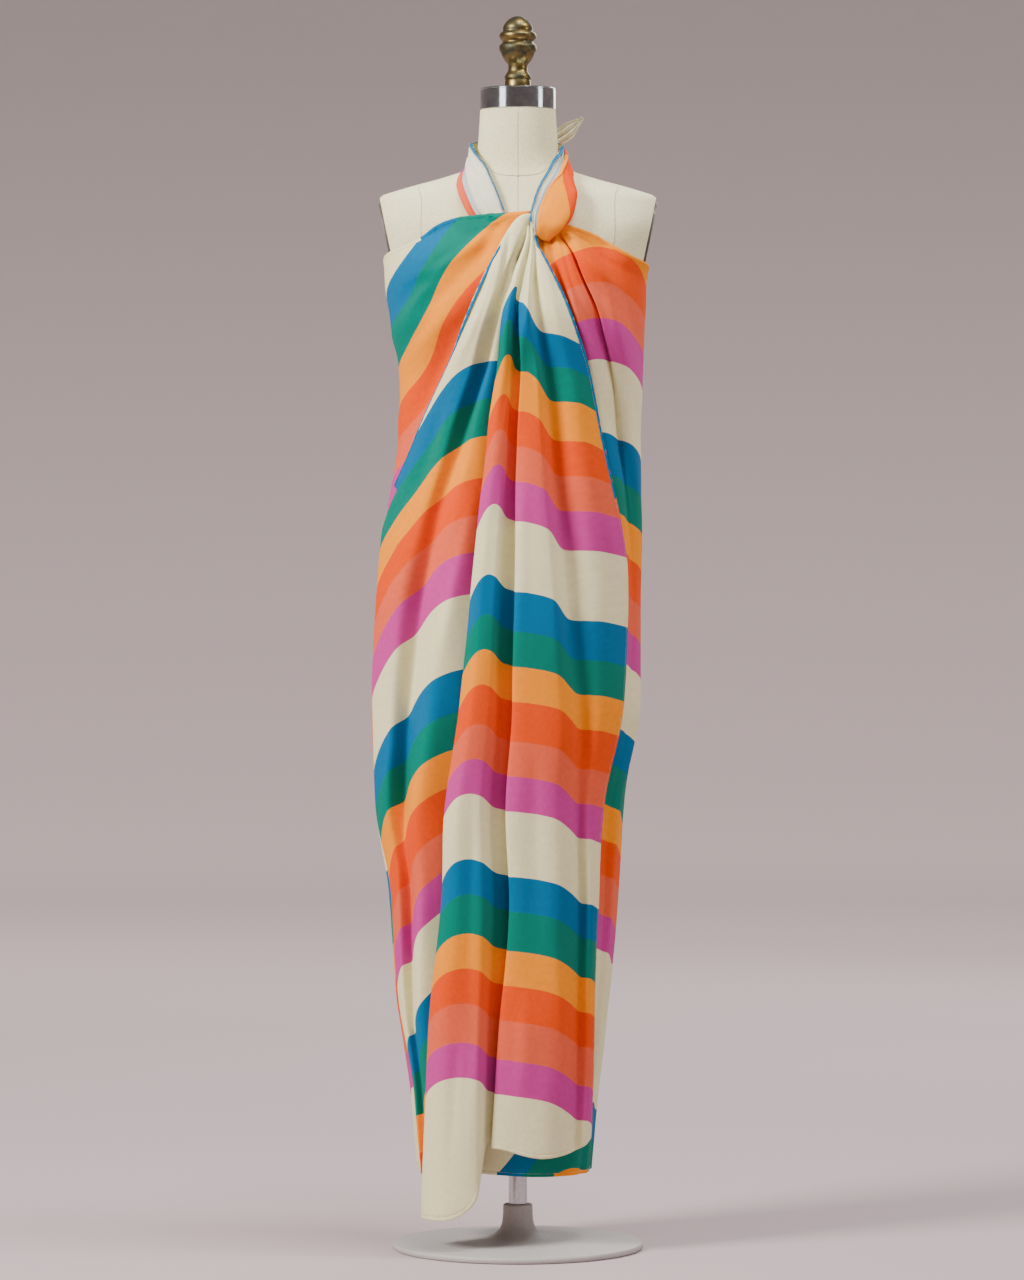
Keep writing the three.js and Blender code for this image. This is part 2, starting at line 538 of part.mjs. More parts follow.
// ---- assembly ----
const pieces = [
  ["form_body", torso(), LINEN],
  ["armhole_plate_left", armholePlate(-1), GREY],
  ["armhole_plate_right", armholePlate(1), GREY],
  ["neck_cap", turned(CAP_PROFILE, 32, NECK_TOP + FIT), STEEL],
  ["finial", turned(FINIAL_PROFILE, 20, NECK_TOP + CAP_HEIGHT + 2 * FIT), BRASS],
  ["post", turned(POST_PROFILE, 20, HUB_HEIGHT + FIT), STEEL],
  ["foot", turned(FOOT_PROFILE, 32, 0), FOOT_PAINT],
  ["front_centre", hanging(FRONT_CENTRE, { columns: 27, rows: 24, side: 0 }), PRINT],
  ["front_left", hanging(FRONT_LEFT, { columns: 21, rows: 22, side: -1 }), PRINT],
  ["front_right", hanging(FRONT_RIGHT, { columns: 21, rows: 22, side: 1 }), PRINT],
  ["back", backStretch({ columns: 30, rows: 14 }), PRINT],
  ["halter_right", strip(HALTER_RIGHT, LOBE_SECTION, { columns: 12, rows: 16 }), PRINT],
  ["halter_left", strip(HALTER_LEFT, PLEATED_SECTION, { columns: 12, rows: 16 }), PRINT],
  ["halter_knot", knot(), PRINT],
  ["tie_end_up", strip(TIE_UP, TIE_SECTION, { columns: 6, rows: 8 }), PRINT],
  ["tie_end_down", strip(TIE_DOWN, TIE_SECTION, { columns: 6, rows: 8 }), PRINT],
];

const group = new THREE.Group();
for (const [name, geometry, material] of pieces) {
  const mesh = new THREE.Mesh(geometry, material);
  mesh.name = name;
  group.add(mesh);
}

export default group;
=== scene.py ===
import math
import bpy
import bmesh
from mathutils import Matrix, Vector, noise


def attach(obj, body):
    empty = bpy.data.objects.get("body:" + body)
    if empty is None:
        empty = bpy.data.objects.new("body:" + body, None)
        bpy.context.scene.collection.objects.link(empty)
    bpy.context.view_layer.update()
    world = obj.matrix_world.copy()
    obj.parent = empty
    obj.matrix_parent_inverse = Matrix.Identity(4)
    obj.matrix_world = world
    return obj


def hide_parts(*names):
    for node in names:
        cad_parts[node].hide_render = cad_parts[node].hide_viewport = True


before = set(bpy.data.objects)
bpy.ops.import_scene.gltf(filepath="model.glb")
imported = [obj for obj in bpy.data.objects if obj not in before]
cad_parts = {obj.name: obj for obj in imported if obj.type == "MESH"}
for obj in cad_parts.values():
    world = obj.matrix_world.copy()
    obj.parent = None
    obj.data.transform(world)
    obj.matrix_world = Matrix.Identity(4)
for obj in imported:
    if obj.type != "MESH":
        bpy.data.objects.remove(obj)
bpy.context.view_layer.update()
print("frame loaded:", len(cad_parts), "nodes")

# Sizes are in millimetres, as a pattern cutter notes them, and metres() turns a point into metres.
# +Z is up and the front of the dress looks towards -Y. Left and right are as seen from the front.


def metres(point):
    return Vector(point) * 0.001


def mix(a, b, t):
    return a + (b - a) * t


def clamp(x, low, high):
    return max(low, min(high, x))


def smooth(low, high, x):
    t = clamp((x - low) / (high - low), 0.0, 1.0)
    return t * t * (3 - 2 * t)


def signedPower(x, power):
    return math.copysign(abs(x) ** power, x)


# A smooth curve through values at rising knots, which never swings past a ridge or a valley.
def through(knots, values, t):
    last = len(knots) - 1
    i = 0
    while i < last - 1 and t > knots[i + 1]:
        i += 1

    def rate(k):
        return (values[k + 1] - values[k]) / (knots[k + 1] - knots[k])

    def slope(k):
        if k == 0 or k == last:
            return rate(0 if k == 0 else last - 1)
        before, after = rate(k - 1), rate(k)
        return 0.0 if before * after <= 0 else 2 * before * after / (before + after)

    span = knots[i + 1] - knots[i]
    s = clamp((t - knots[i]) / span, 0.0, 1.0)
    rise = values[i + 1] - values[i]
    startPull = slope(i) * span - rise
    endPull = rise - slope(i + 1) * span
    return values[i] + s * rise + s * (1 - s) * ((1 - s) * startPull + s * endPull)


# Makes a mesh a piece of the part. sharp is the angle in degrees from which an edge stays crisp.
def finishPiece(name, mesh, materials, sharp=None):
    piece = bpy.data.objects.new(name, mesh)
    bpy.context.scene.collection.objects.link(piece)
    for material in materials:
        mesh.materials.append(material)
    mesh.shade_smooth()
    if sharp:
        mesh.set_sharp_from_angle(angle=math.radians(sharp))
    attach(piece, "root")
    return piece


# A grid laid on rows of points, the top row first, each from left to right as seen from outside.
def layGrid(bm, rows, marks=None, uvLayer=None):
    down, across = len(rows), len(rows[0])
    made = bmesh.ops.create_grid(bm, x_segments=across - 1, y_segments=down - 1, size=1)["verts"]
    printAt = {}
    for k, vert in enumerate(made):
        r, c = down - 1 - k // across, k % across
        vert.co = metres(rows[r][c])
        if marks:
            printAt[vert] = marks[r][c]
    if marks:
        for face in {face for vert in made for face in vert.link_faces}:
            for loop in face.loops:
                loop[uvLayer].uv = printAt[loop.vert]
    return made


def meshFrom(bm, name, turnOut=False):
    if turnOut:
        bmesh.ops.recalc_face_normals(bm, faces=bm.faces)
    mesh = bpy.data.meshes.new(name)
    bm.to_mesh(mesh)
    bm.free()
    return mesh


# Joins the edges of a grid that meet, and closes its open ends.
def closeGrid(bm, made, dist=1e-6):
    bmesh.ops.remove_doubles(bm, verts=made, dist=dist)
    bmesh.ops.holes_fill(bm, edges=[edge for edge in bm.edges if edge.is_boundary], sides=0)


# Spins a line of points in metres round the part's middle.
def spinLine(bm, line, sides, dist=1e-6):
    verts = [bm.verts.new(point) for point in line]
    edges = [bm.edges.new(pair) for pair in zip(verts, verts[1:])]
    bmesh.ops.spin(bm, geom=verts + edges, cent=(0, 0, 0), axis=(0, 0, 1), angle=2 * math.pi, steps=sides,
                   use_merge=True)
    bmesh.ops.remove_doubles(bm, verts=bm.verts, dist=dist)


# A turned piece of (radius, height) pairs.
def turnPiece(name, profile, base, material, sides=128, sharp=38):
    bm = bmesh.new()
    spinLine(bm, [metres((radius, 0, base + height)) for radius, height in profile], sides)
    return finishPiece(name, meshFrom(bm, name, turnOut=True), [material], sharp=sharp)


cordEnd = 0.35  # how far a cord narrows at its ends


# A closed cord of oval section along a path. outs says which way is out from what it lies on.
def layCord(bm, path, outs, halfWidth, halfHeight, sides=8, marks=None, uvLayer=None):
    last = len(path) - 1
    rows = [[] for _ in range(sides + 1)]
    for k, point in enumerate(path):
        along = (path[min(k + 1, last)] - path[max(k - 1, 0)]).normalized()
        out = (outs[k] - along * outs[k].dot(along)).normalized()
        side = out.cross(along)
        end = cordEnd if k in (0, last) else 1.0
        for s in range(sides + 1):
            turn = 2 * math.pi * s / sides
            offset = side * (halfWidth * math.cos(turn)) - out * (halfHeight * math.sin(turn))
            rows[s].append(point + offset * end)
    closeGrid(bm, layGrid(bm, rows, [marks] * (sides + 1) if marks else None, uvLayer))


def newMaterial(name):
    material = bpy.data.materials.new(name)
    material.use_nodes = True
    tree = material.node_tree
    return material, tree, tree.nodes["Principled BSDF"]


def addNode(tree, kind, **settings):
    node = tree.nodes.new(kind)
    for key, value in settings.items():
        if key in node.inputs:
            node.inputs[key].default_value = value
        else:
            setattr(node, key, value)
    return node


def addMath(tree, operation, a, b=None, c=None):
    node = tree.nodes.new("ShaderNodeMath")
    node.operation = operation
    for socket, value in zip(node.inputs, (a, b, c)):
        if value is None:
            continue
        if isinstance(value, (int, float)):
            socket.default_value = value
        else:
            tree.links.new(value, socket)
    return node.outputs[0]


def rampOf(tree, source, stops, interpolation="LINEAR"):
    ramp = tree.nodes.new("ShaderNodeValToRGB")
    ramp.color_ramp.interpolation = interpolation
    elements = ramp.color_ramp.elements
    while len(elements) < len(stops):
        elements.new(1.0)
    for element, (position, colour) in zip(elements, stops):
        element.position = position
        element.color = (*colour, 1)
    tree.links.new(source, ramp.inputs[0])
    return ramp.outputs[0]


def multiplyColours(tree, a, b):
    node = addNode(tree, "ShaderNodeMix", data_type="RGBA", blend_type="MULTIPLY")
    node.inputs[0].default_value = 1.0
    tree.links.new(a, node.inputs[6])
    tree.links.new(b, node.inputs[7])
    return node.outputs[2]


def splitVector(tree, source):
    parts = tree.nodes.new("ShaderNodeSeparateXYZ")
    tree.links.new(source, parts.inputs[0])
    return parts.outputs[:]


def noiseOn(tree, source, scale, detail, roughness=0.5):
    node = addNode(tree, "ShaderNodeTexNoise", Scale=scale, Detail=detail, Roughness=roughness)
    tree.links.new(source, node.inputs["Vector"])
    return node.outputs[0]


def waveAlong(tree, source, length):
    return addMath(tree, "SINE", addMath(tree, "MULTIPLY", source, 2 * math.pi / length))


def addBump(tree, shader, height, strength, depth):
    bump = addNode(tree, "ShaderNodeBump", Strength=strength, Distance=depth)
    tree.links.new(height, bump.inputs["Height"])
    tree.links.new(bump.outputs[0], shader.inputs["Normal"])


def setInputs(shader, settings):
    for key, value in settings.items():
        shader.inputs[key].default_value = value


clothPrint = {
    "cream": (0.82, 0.765, 0.44),
    "bands": [  # from the top of a group down
        (0.0, 0.14, 0.30),
        (0.0, 0.185, 0.13),
        (0.98, 0.29, 0.0),
        (0.84, 0.068, 0.0),
        (0.80, 0.115, 0.05),
        (0.55, 0.045, 0.27),
    ],
    "bandWidth": 0.049,  # metres of cloth
    "groupStarts": [0.03, 0.42, 0.80, 1.29],
    "tilt": -0.05,
    "waves": [(0.105, 1.0), (0.018, 0.37)],  # rise and length of each
    "drop": 1.5,
    "reverseFade": 0.60,
    "reverseWhite": (0.84, 0.82, 0.70),
    "threadPitch": 0.0007,
    "tones": [  # a noise's scale, detail and roughness, and the shades that it gives
        ((130.0, 3.0, 0.6), [(0.3, (0.90, 0.90, 0.90)), (0.7, (1.0, 1.0, 1.0))]),
        ((7.0, 2.0, 0.5), [(0.35, (0.95, 0.95, 0.96)), (0.65, (1.0, 1.0, 0.99))]),
    ],
    "bump": (0.25, 0.0002),  # strength and depth
    "surface": {"Roughness": 0.88, "Specular IOR Level": 0.1, "Sheen Weight": 0.02, "Sheen Roughness": 0.5},
}


def printMaterial(name, reverse):
    sizes = clothPrint
    material, tree, shader = newMaterial(name)
    onCloth = addNode(tree, "ShaderNodeUVMap", uv_map="cloth").outputs[0]
    across, down, _ = splitVector(tree, onCloth)
    level = down
    for rise, length in sizes["waves"]:
        level = addMath(tree, "MULTIPLY_ADD", waveAlong(tree, across, length), rise, level)
    level = addMath(tree, "MULTIPLY_ADD", across, sizes["tilt"], level)
    fade = sizes["reverseFade"] if reverse else 0.0
    colours = [tuple(mix(c, white, fade) for c, white in zip(colour, sizes["reverseWhite"]))
               for colour in sizes["bands"] + [sizes["cream"]]]
    stops = [(0.0, colours[-1])]
    for start in sizes["groupStarts"]:
        for k, colour in enumerate(colours):
            stops.append(((start + k * sizes["bandWidth"]) / sizes["drop"], colour))
    stops = [(position, colour) for position, colour in stops if position < 1]
    colour = rampOf(tree, addMath(tree, "DIVIDE", level, sizes["drop"]), stops, "CONSTANT")
    for grain, shades in sizes["tones"]:
        colour = multiplyColours(tree, colour, rampOf(tree, noiseOn(tree, onCloth, *grain), shades))
    tree.links.new(colour, shader.inputs["Base Color"])
    threads = [waveAlong(tree, way, sizes["threadPitch"]) for way in (across, down)]
    addBump(tree, shader, addMath(tree, "MULTIPLY", *threads), *sizes["bump"])
    setInputs(shader, sizes["surface"])
    return material


linenLook = {
    "weftScale": (260.0, 260.0, 1500.0),
    "warpScale": (1500.0, 1500.0, 220.0),
    "threadShades": [(0.36, (0.70, 0.65, 0.39)), (0.5, (0.86, 0.82, 0.53)), (0.64, (0.93, 0.90, 0.62))],
    "age": (9.0, 4.0),  # scale and detail
    "ageShades": [(0.38, (0.95, 0.92, 0.85)), (0.6, (1.0, 1.0, 1.0))],
    "bump": (0.5, 0.0004),
    "surface": {"Roughness": 0.9, "Specular IOR Level": 0.2},
}


def linenMaterial():
    material, tree, shader = newMaterial("unbleachedLinen")
    coords = tree.nodes.new("ShaderNodeTexCoord").outputs["Object"]
    slubs = []
    for scale in (linenLook["weftScale"], linenLook["warpScale"]):
        drawnOut = addNode(tree, "ShaderNodeMapping", Scale=scale)
        tree.links.new(coords, drawnOut.inputs[0])
        slubs.append(noiseOn(tree, drawnOut.outputs[0], 1.0, 2.0))
    threads = addMath(tree, "MULTIPLY", addMath(tree, "ADD", *slubs), 0.5)
    colour = rampOf(tree, threads, linenLook["threadShades"])
    stain = rampOf(tree, noiseOn(tree, coords, *linenLook["age"]), linenLook["ageShades"])
    tree.links.new(multiplyColours(tree, colour, stain), shader.inputs["Base Color"])
    addBump(tree, shader, threads, *linenLook["bump"])
    setInputs(shader, linenLook["surface"])
    return material


# dark, light and rough are the two ends of the noise's patches, and low and high are where it changes.
def noisyMetal(name, dark, light, rough, metallic, noiseScale, low=0.4, high=0.6):
    material, tree, shader = newMaterial(name)
    coords = tree.nodes.new("ShaderNodeTexCoord").outputs["Object"]
    patch = noiseOn(tree, coords, noiseScale, detail=5.0, roughness=0.6)
    colour = rampOf(tree, patch, [(low, dark), (high, light)])
    roughness = rampOf(tree, patch, [(low, (rough[1],) * 3), (high, (rough[0],) * 3)])
    tree.links.new(colour, shader.inputs["Base Color"])
    tree.links.new(roughness, shader.inputs["Roughness"])
    shader.inputs["Metallic"].default_value = metallic
    return material


printFace = printMaterial("printedFace", False)
printReverse = printMaterial("printedReverse", True)
linen = linenMaterial()
seamThread = noisyMetal("seamThread", (0.40, 0.35, 0.25), (0.50, 0.45, 0.34), (0.85, 0.95), 0.0, 300)
stitchThread = noisyMetal("hemThread", (0.55, 0.50, 0.40), (0.75, 0.70, 0.58), (0.7, 0.85), 0.0, 400)
capMetal = noisyMetal("platedCap", (0.36, 0.40, 0.42), (0.50, 0.54, 0.56), (0.06, 0.16), 1.0, 60)
agedBrass = noisyMetal("agedBrass", (0.06, 0.06, 0.04), (0.22, 0.155, 0.05), (0.3, 0.55), 1.0, 55,
                       low=0.38, high=0.62)
platePaint = noisyMetal("armholePlatePaint", (0.10, 0.095, 0.085), (0.15, 0.14, 0.125), (0.4, 0.55), 0.3, 90)
postSteel = noisyMetal("brushedPost", (0.54, 0.54, 0.55), (0.60, 0.61, 0.62), (0.3, 0.36), 1.0, 300)
footPaint = noisyMetal("footPowderCoat", (0.40, 0.375, 0.36), (0.46, 0.43, 0.41), (0.5, 0.65), 0.0, 500)
print("materials ready:", len(bpy.data.materials))

# The dress form.
formShape = {
    "sections": [  # height, half width, reach to the front and to the back, squareness
        (760, 152, 108, 112, 2.1),
        (775, 157, 113, 117, 2.1),
        (880, 158, 117, 124, 2.1),
        (960, 150, 112, 108, 2.1),
        (1080, 124, 98, 82, 2.1),
        (1180, 141, 112, 92, 2.1),
        (1255, 156, 132, 102, 2.1),
        (1310, 168, 118, 106, 2.1),
        (1350, 182, 102, 103, 2.1),
        (1395, 196, 86, 92, 2.3),
        (1425, 190, 72, 82, 2.3),
        (1440, 150, 66, 76, 2.1),
        (1452, 106, 61, 70, 2),
        (1466, 68, 56, 62, 2),
        (1490, 55, 53, 56, 2),
        (1545, 51, 51, 51, 2),
    ],
    "armTop": 1421,
    "armBottom": 1304,
    "armOutAtTop": 186,
    "armOutAtBottom": 162,
    "trimFrom": 1296,  # heights between which the armhole planes cut the form
    "trimTo": 1480,
    "sideTurn": 84.0,  # where the sides start, in degrees, when nothing is cut
    "ringPitch": 5,
    "frontColumns": 44,
    "sideColumns": 10,
    "sharp": 42,
    "shoulder": (60, 1430),  # across and up from where it starts
    "seamWidth": 0.55,
    "seamHeight": 0.3,
    "pin": (0, -61.2, 1452),  # a dressmaker's pin head at the neck seam
    "pinRadius": 1.1,
}
formHeights = [row[0] for row in formShape["sections"]]


def formSection(z):
    return [through(formHeights, [row[k] for row in formShape["sections"]], z) for k in (1, 2, 3, 4)]


def armPlane(z):
    share = (z - formShape["armBottom"]) / (formShape["armTop"] - formShape["armBottom"])
    return mix(formShape["armOutAtBottom"], formShape["armOutAtTop"], share)


# The point of the form at a turn from the front, positive to the right, in degrees.
def formPoint(turn, z, off=0.0):
    half, front, back, square = formSection(z)
    s, c = math.sin(math.radians(turn)), math.cos(math.radians(turn))
    x = signedPower(s, 2 / square) * (half + off)
    y = -signedPower(c, 2 / square) * ((front if c > 0 else back) + off)
    return Vector((x, y, z))


def formRow(z):
    half, front, back, square = formSection(z)
    plane = armPlane(z)
    trimmed = formShape["trimFrom"] < z < formShape["trimTo"] and plane < half
    edge = math.degrees(math.asin((plane / half) ** (square / 2))) if trimmed else formShape["sideTurn"]
    columns, side = formShape["frontColumns"], formShape["sideColumns"]
    row = [formPoint(mix(-edge, edge, k / columns), z) for k in range(columns)]
    for sign, start in ((1, edge), (-1, 180 + edge)):
        stop = start + 2 * (90 - edge)
        for k in range(side):
            if trimmed:
                row.append(formPoint(start, z).lerp(formPoint(stop, z), k / side))
            else:
                row.append(formPoint(mix(start, stop, k / side), z))
        if sign > 0:
            row += [formPoint(mix(180 - edge, 180 + edge, k / columns), z) for k in range(columns)]
    return row + [row[0]]


def buildForm():
    bottom, top = formHeights[0], formHeights[-1]
    count = round((top - bottom) / formShape["ringPitch"])
    bm = bmesh.new()
    closeGrid(bm, layGrid(bm, [formRow(mix(top, bottom, k / count)) for k in range(count + 1)]), dist=1e-5)
    piece = finishPiece("linenForm", meshFrom(bm, "linenForm", turnOut=True), [linen],
                        sharp=formShape["sharp"])
    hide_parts("form_body")


def seamPath(stations, steps=70):
    knots = list(range(len(stations)))
    path = []
    for k in range(steps + 1):
        t = k / steps * knots[-1]
        turn = through(knots, [s[0] for s in stations], t)
        z = through(knots, [s[1] for s in stations], t)
        path.append(formPoint(turn, z))
    return path


def mirrored(stations):
    return [(-turn, z) for turn, z in stations]


def atBack(stations):
    return [(180 - turn, z) for turn, z in stations]


# Seams on the right front, as stations of turn from the front in degrees and height.
centreSeam = [(0, 1544), (0, 1466), (0, 1400), (0, 1255), (0, 1080), (0, 880), (0, 762)]
princessSeam = [(61, 1440), (40.5, 1425), (38.6, 1395), (43, 1350), (38, 1310), (33, 1080), (36, 880),
                (36, 762)]
neckSeam = [(0, 1452), (12, 1453.5), (30, 1461.5), (50, 1468), (70, 1473), (90, 1477), (135, 1480),
            (180, 1480)]
shoulderSeam = [(90, 1428), (90, 1440), (90, 1452), (90, 1462)]
formSeams = [
    centreSeam,
    atBack(centreSeam),
    mirrored(princessSeam),
    princessSeam,
    mirrored(atBack(princessSeam)),
    atBack(princessSeam),
    mirrored(neckSeam)[::-1] + neckSeam[1:],
    mirrored(shoulderSeam),
    shoulderSeam,
]


# The way out of the form at a point of a seam: slanting up on the shoulder, and level everywhere else.
def seamOut(point):
    outer, low = formShape["shoulder"]
    onShoulder = point.z > low and abs(point.x) > outer
    return Vector((point.x, point.y, outer if onShoulder else 0))


def buildFormSeams():
    bm = bmesh.new()
    for stations in formSeams:
        path = seamPath(stations)
        outs = [seamOut(point) for point in path]
        layCord(bm, path, outs, formShape["seamWidth"], formShape["seamHeight"], sides=6)
    head = bmesh.ops.create_icosphere(bm, subdivisions=2, radius=formShape["pinRadius"] * 0.001)["verts"]
    bmesh.ops.translate(bm, verts=head, vec=metres(formShape["pin"]))
    finishPiece("formSeams", meshFrom(bm, "formSeams", turnOut=True), [seamThread])


plateShape = {
    "halfWidth": 38,
    "gap": 0.35,
    "thickness": 2.9,
    "rounding": 0.7,
    "rimAngle": 1.2,  # radians from which an edge is rounded
    "sides": 72,
    "sharp": 30,
}


def buildArmholePlate(side):
    name = "armholePlateRight" if side > 0 else "armholePlateLeft"
    top, bottom = formShape["armTop"], formShape["armBottom"]
    lean = math.atan2(formShape["armOutAtTop"] - formShape["armOutAtBottom"], top - bottom)
    across = Vector((math.cos(lean), 0, -math.sin(lean)))
    up = Vector((math.sin(lean), 0, math.cos(lean)))
    middle = Vector((armPlane((top + bottom) / 2), 0, (top + bottom) / 2)) + across * plateShape["gap"]
    bm = bmesh.new()
    rim = bmesh.ops.create_circle(bm, cap_ends=True, segments=plateShape["sides"], radius=1)["verts"]
    for vert in rim:
        point = middle + up * (vert.co.x * (top - bottom) / 2)
        vert.co = metres((point.x * side, vert.co.y * plateShape["halfWidth"] * side, point.z))
    raised = bmesh.ops.extrude_face_region(bm, geom=list(bm.faces))["geom"]
    moved = [item for item in raised if isinstance(item, bmesh.types.BMVert)]
    shift = across * plateShape["thickness"]
    bmesh.ops.translate(bm, verts=moved, vec=metres((shift.x * side, 0, shift.z)))
    rims = [edge for edge in bm.edges
            if len(edge.link_faces) == 2 and edge.calc_face_angle(0) > plateShape["rimAngle"]]
    bmesh.ops.bevel(bm, geom=rims, affect="EDGES", offset=plateShape["rounding"] * 0.001, segments=3,
                    profile=0.5, material=-1)
    mesh = meshFrom(bm, name, turnOut=True)
    piece = finishPiece(name, mesh, [platePaint], sharp=plateShape["sharp"])
    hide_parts("armhole_plate_right" if side > 0 else "armhole_plate_left")


buildForm()
buildFormSeams()
buildArmholePlate(-1)
buildArmholePlate(1)

capProfile = [(0, 0), (50.2, 0), (51, 0.8), (51, 25.6), (50.5, 26.1), (50.5, 26.9), (51, 27.4), (51, 28.4),
              (50.2, 29.3), (48.5, 29.6), (20, 29.6), (0, 29.6)]
finialProfile = [
    (0, 0), (17, 0), (17.6, 0.6), (17.6, 9.2), (17, 10.1), (16.8, 10.7), (17.6, 11.6), (18.2, 13.6),
    (17.9, 16), (16.4, 18.6), (14.6, 21), (13.3, 23.4), (12.9, 26), (12.9, 30), (13.6, 32.2),
    (15.4, 34.2), (18, 37.4), (20.2, 41), (21.8, 44.4), (22.6, 46.8), (23.2, 48.2), (24.4, 49.6),
    (25.2, 52), (25.4, 54.6), (25, 57), (23.8, 58.8), (22.4, 60), (21.2, 61.4), (20.9, 62.8),
    (21.6, 64.2), (23.2, 65.6), (24.6, 67.4), (25.3, 70.4), (24.8, 72.8), (23.4, 74.6), (21.6, 75.8),
    (20.4, 76.8), (20.1, 78.4), (20.4, 80), (20, 83), (18.4, 86.2), (15.6, 90), (11.6, 93.6),
    (6.6, 96.2), (0, 97.5),
]
postProfile = [(0, 0), (12, 0), (12.5, 0.5), (12.5, 698.9), (12, 699.4), (0, 699.4)]
footProfile = [(0, 0), (165, 0), (168.6, 0.9), (170, 3), (170, 6.4), (168.6, 8.2), (164, 9), (110, 12),
               (62, 14.4), (44, 16), (32, 20), (25, 26), (21.6, 34), (20.4, 44), (20, 58.4), (18.6, 60),
               (13.4, 60), (0, 60)]
undersides = {"cap": 1545.3, "finial": 1575.2, "post": 60.3, "foot": 0}  # heights above the floor
neckCap = turnPiece("neckCap", capProfile, undersides["cap"], capMetal)
finial = turnPiece("finialTurned", finialProfile, undersides["finial"], agedBrass)
post = turnPiece("postTube", postProfile, undersides["post"], postSteel, sides=64)
foot = turnPiece("roundFoot", footProfile, undersides["foot"], footPaint, sides=160)
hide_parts("neck_cap")
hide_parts("finial")
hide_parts("post")
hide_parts("foot")
print("dress form built")

# The cloth's outline round the body.
clothOutline = [  # height, reach to the left, right, front and back
    (30, -124, 86, 84, 86),
    (200, -140, 103, 92, 92),
    (340, -160, 118, 98, 98),
    (480, -171, 132, 105, 106),
    (610, -190, 140, 113, 116),
    (745, -194, 161, 121, 124),
    (880, -188, 162, 125, 130),
    (990, -175, 163, 124, 118),
    (1100, -158, 162, 122, 104),
    (1180, -155, 166, 127, 104),
    (1255, -168, 169, 137, 110),
    (1310, -177, 173, 126, 114),
    (1350, -182, 182, 112, 112),
    (1395, -192, 192, 95, 102),
    (1425, -192, 192, 86, 96),
]
outlineHeights = [row[0] for row in clothOutline]
outlineColumns = [[row[k] for row in clothOutline] for k in (1, 2, 3, 4)]
outlineSquare = 2.2


def outlineAt(z):
    return [through(outlineHeights, column, z) for column in outlineColumns]


# The point of the outline at a bearing, and the level direction straight out of it.
def onOutline(bearing, z):
    left, right, front, back = outlineAt(z)
    s, c = math.sin(math.radians(bearing)), math.cos(math.radians(bearing))
    depth, half = (front if c > 0 else back), (right - left) / 2
    across, forward = signedPower(s, 2 / outlineSquare), signedPower(c, 2 / outlineSquare)
    away = Vector((signedPower(across, outlineSquare - 1) * depth,
                   -signedPower(forward, outlineSquare - 1) * half, 0)).normalized()
    return Vector(((left + right) / 2 + half * across, -depth * forward, z)), away


def bearingOf(x, z, out):
    left, right = outlineAt(z)[:2]
    share = clamp((x - (left + right) / 2) / ((right - left) / 2 + out), -1, 1)
    return math.degrees(math.asin(signedPower(share, outlineSquare / 2)))


leftSide, rightSide = -1000, 1000  # as far as the outline goes
foldLevels = [0, 0.018, 0.04, 0.075, 0.11, 0.23, 0.4, 0.69, 1]
levelHeights = [1100, 880, 500]  # waist, hip and knee
chestHeights = [1336, 1303, 1269]  # chest, armhole and bust


# A fold: where it runs across and how far it stands off, both at the tucked top, crossing, chest, armhole,
# bust, waist, hip, knee and hem, and its heights there.
def fold(xs, outs, top, crossing, chest=chestHeights, hem=106):
    heights = [top, crossing] + chest + levelHeights + [hem]
    return heights, [clamp(bearingOf(x, z, off), -90, 90) for x, z, off in zip(xs, heights, outs)], outs


centreFolds = {
    "tuck": fold([13, 12, 7, 2, -7, -27, -48, -86, -116],
                 [4, 7, 9.5, 8.5, 9, 13, 15, 15, 14], 1398, 1371, hem=66),
    "leftEdge": fold([13, 12, 1, -10, -21, -43, -67, -105, -131],
                     [5, 9, 14, 16, 17, 23, 25, 26, 25], 1400, 1372, hem=50),
    "leftCrest": fold([14, 14, 5, -5, -14, -32, -52, -86, -106],
                      [5, 12, 18, 22, 26, 33, 41, 48, 51], 1401, 1372, hem=52),
    "shoulder": fold([15, 15, 8, 0, -8, -21, -36, -54, -62],
                     [5, 10, 15, 18, 22, 29, 36, 43, 45], 1402, 1372, hem=80),
    "valleyWall": fold([15.5, 16, 10, 2, -4, -9, -15, -26, -43],
                       [5, 9, 11.5, 12.5, 13, 14, 15.5, 18, 20], 1402, 1371, hem=156),
    "deepValley": fold([16, 17.5, 15, 11, 6, 9, 11, 6, -25],
                       [5, 8, 8.5, 8, 7, 5.5, 5, 5, 5.5], 1402, 1371, hem=158),
    "rightPart": fold([17, 18, 14, 7, 1, -1, -4, -11, -37],
                      [4, 11, 17, 20, 22, 25, 26, 27, 26], 1402, 1370, hem=150),
    "rightShoulder": fold([17.5, 19, 16, 11, 7, 10, 12, 6, -24],
                          [4, 12, 18, 21, 24, 29, 34, 35, 32], 1402, 1370, hem=148),
    "rightCrest": fold([18, 20, 18, 15, 14, 31, 50, 56, 38],
                       [4, 12, 18, 22, 26, 32, 37, 38, 36], 1402, 1369, hem=135),
    "crease": fold([19, 21, 23, 24, 27, 50, 70, 86, 78],
                   [3, 9, 11, 10, 10, 11, 14, 17, 20], 1401, 1368, hem=142),
    "flap": fold([21, 23, 32, 39, 47, 88, 110, 102, 94],
                 [3, 10, 15, 18, 20, 22, 25, 28, 30], 1400, 1366, chest=[1335, 1303, 1269], hem=150),
    "freeEdge": fold([23, 26, 41, 57, 71, 115, 149, 112, 100],
                     [3, 8, 11, 12, 13, 14, 14, 18, 21], 1399, 1364, chest=[1334, 1302, 1269], hem=158),
}
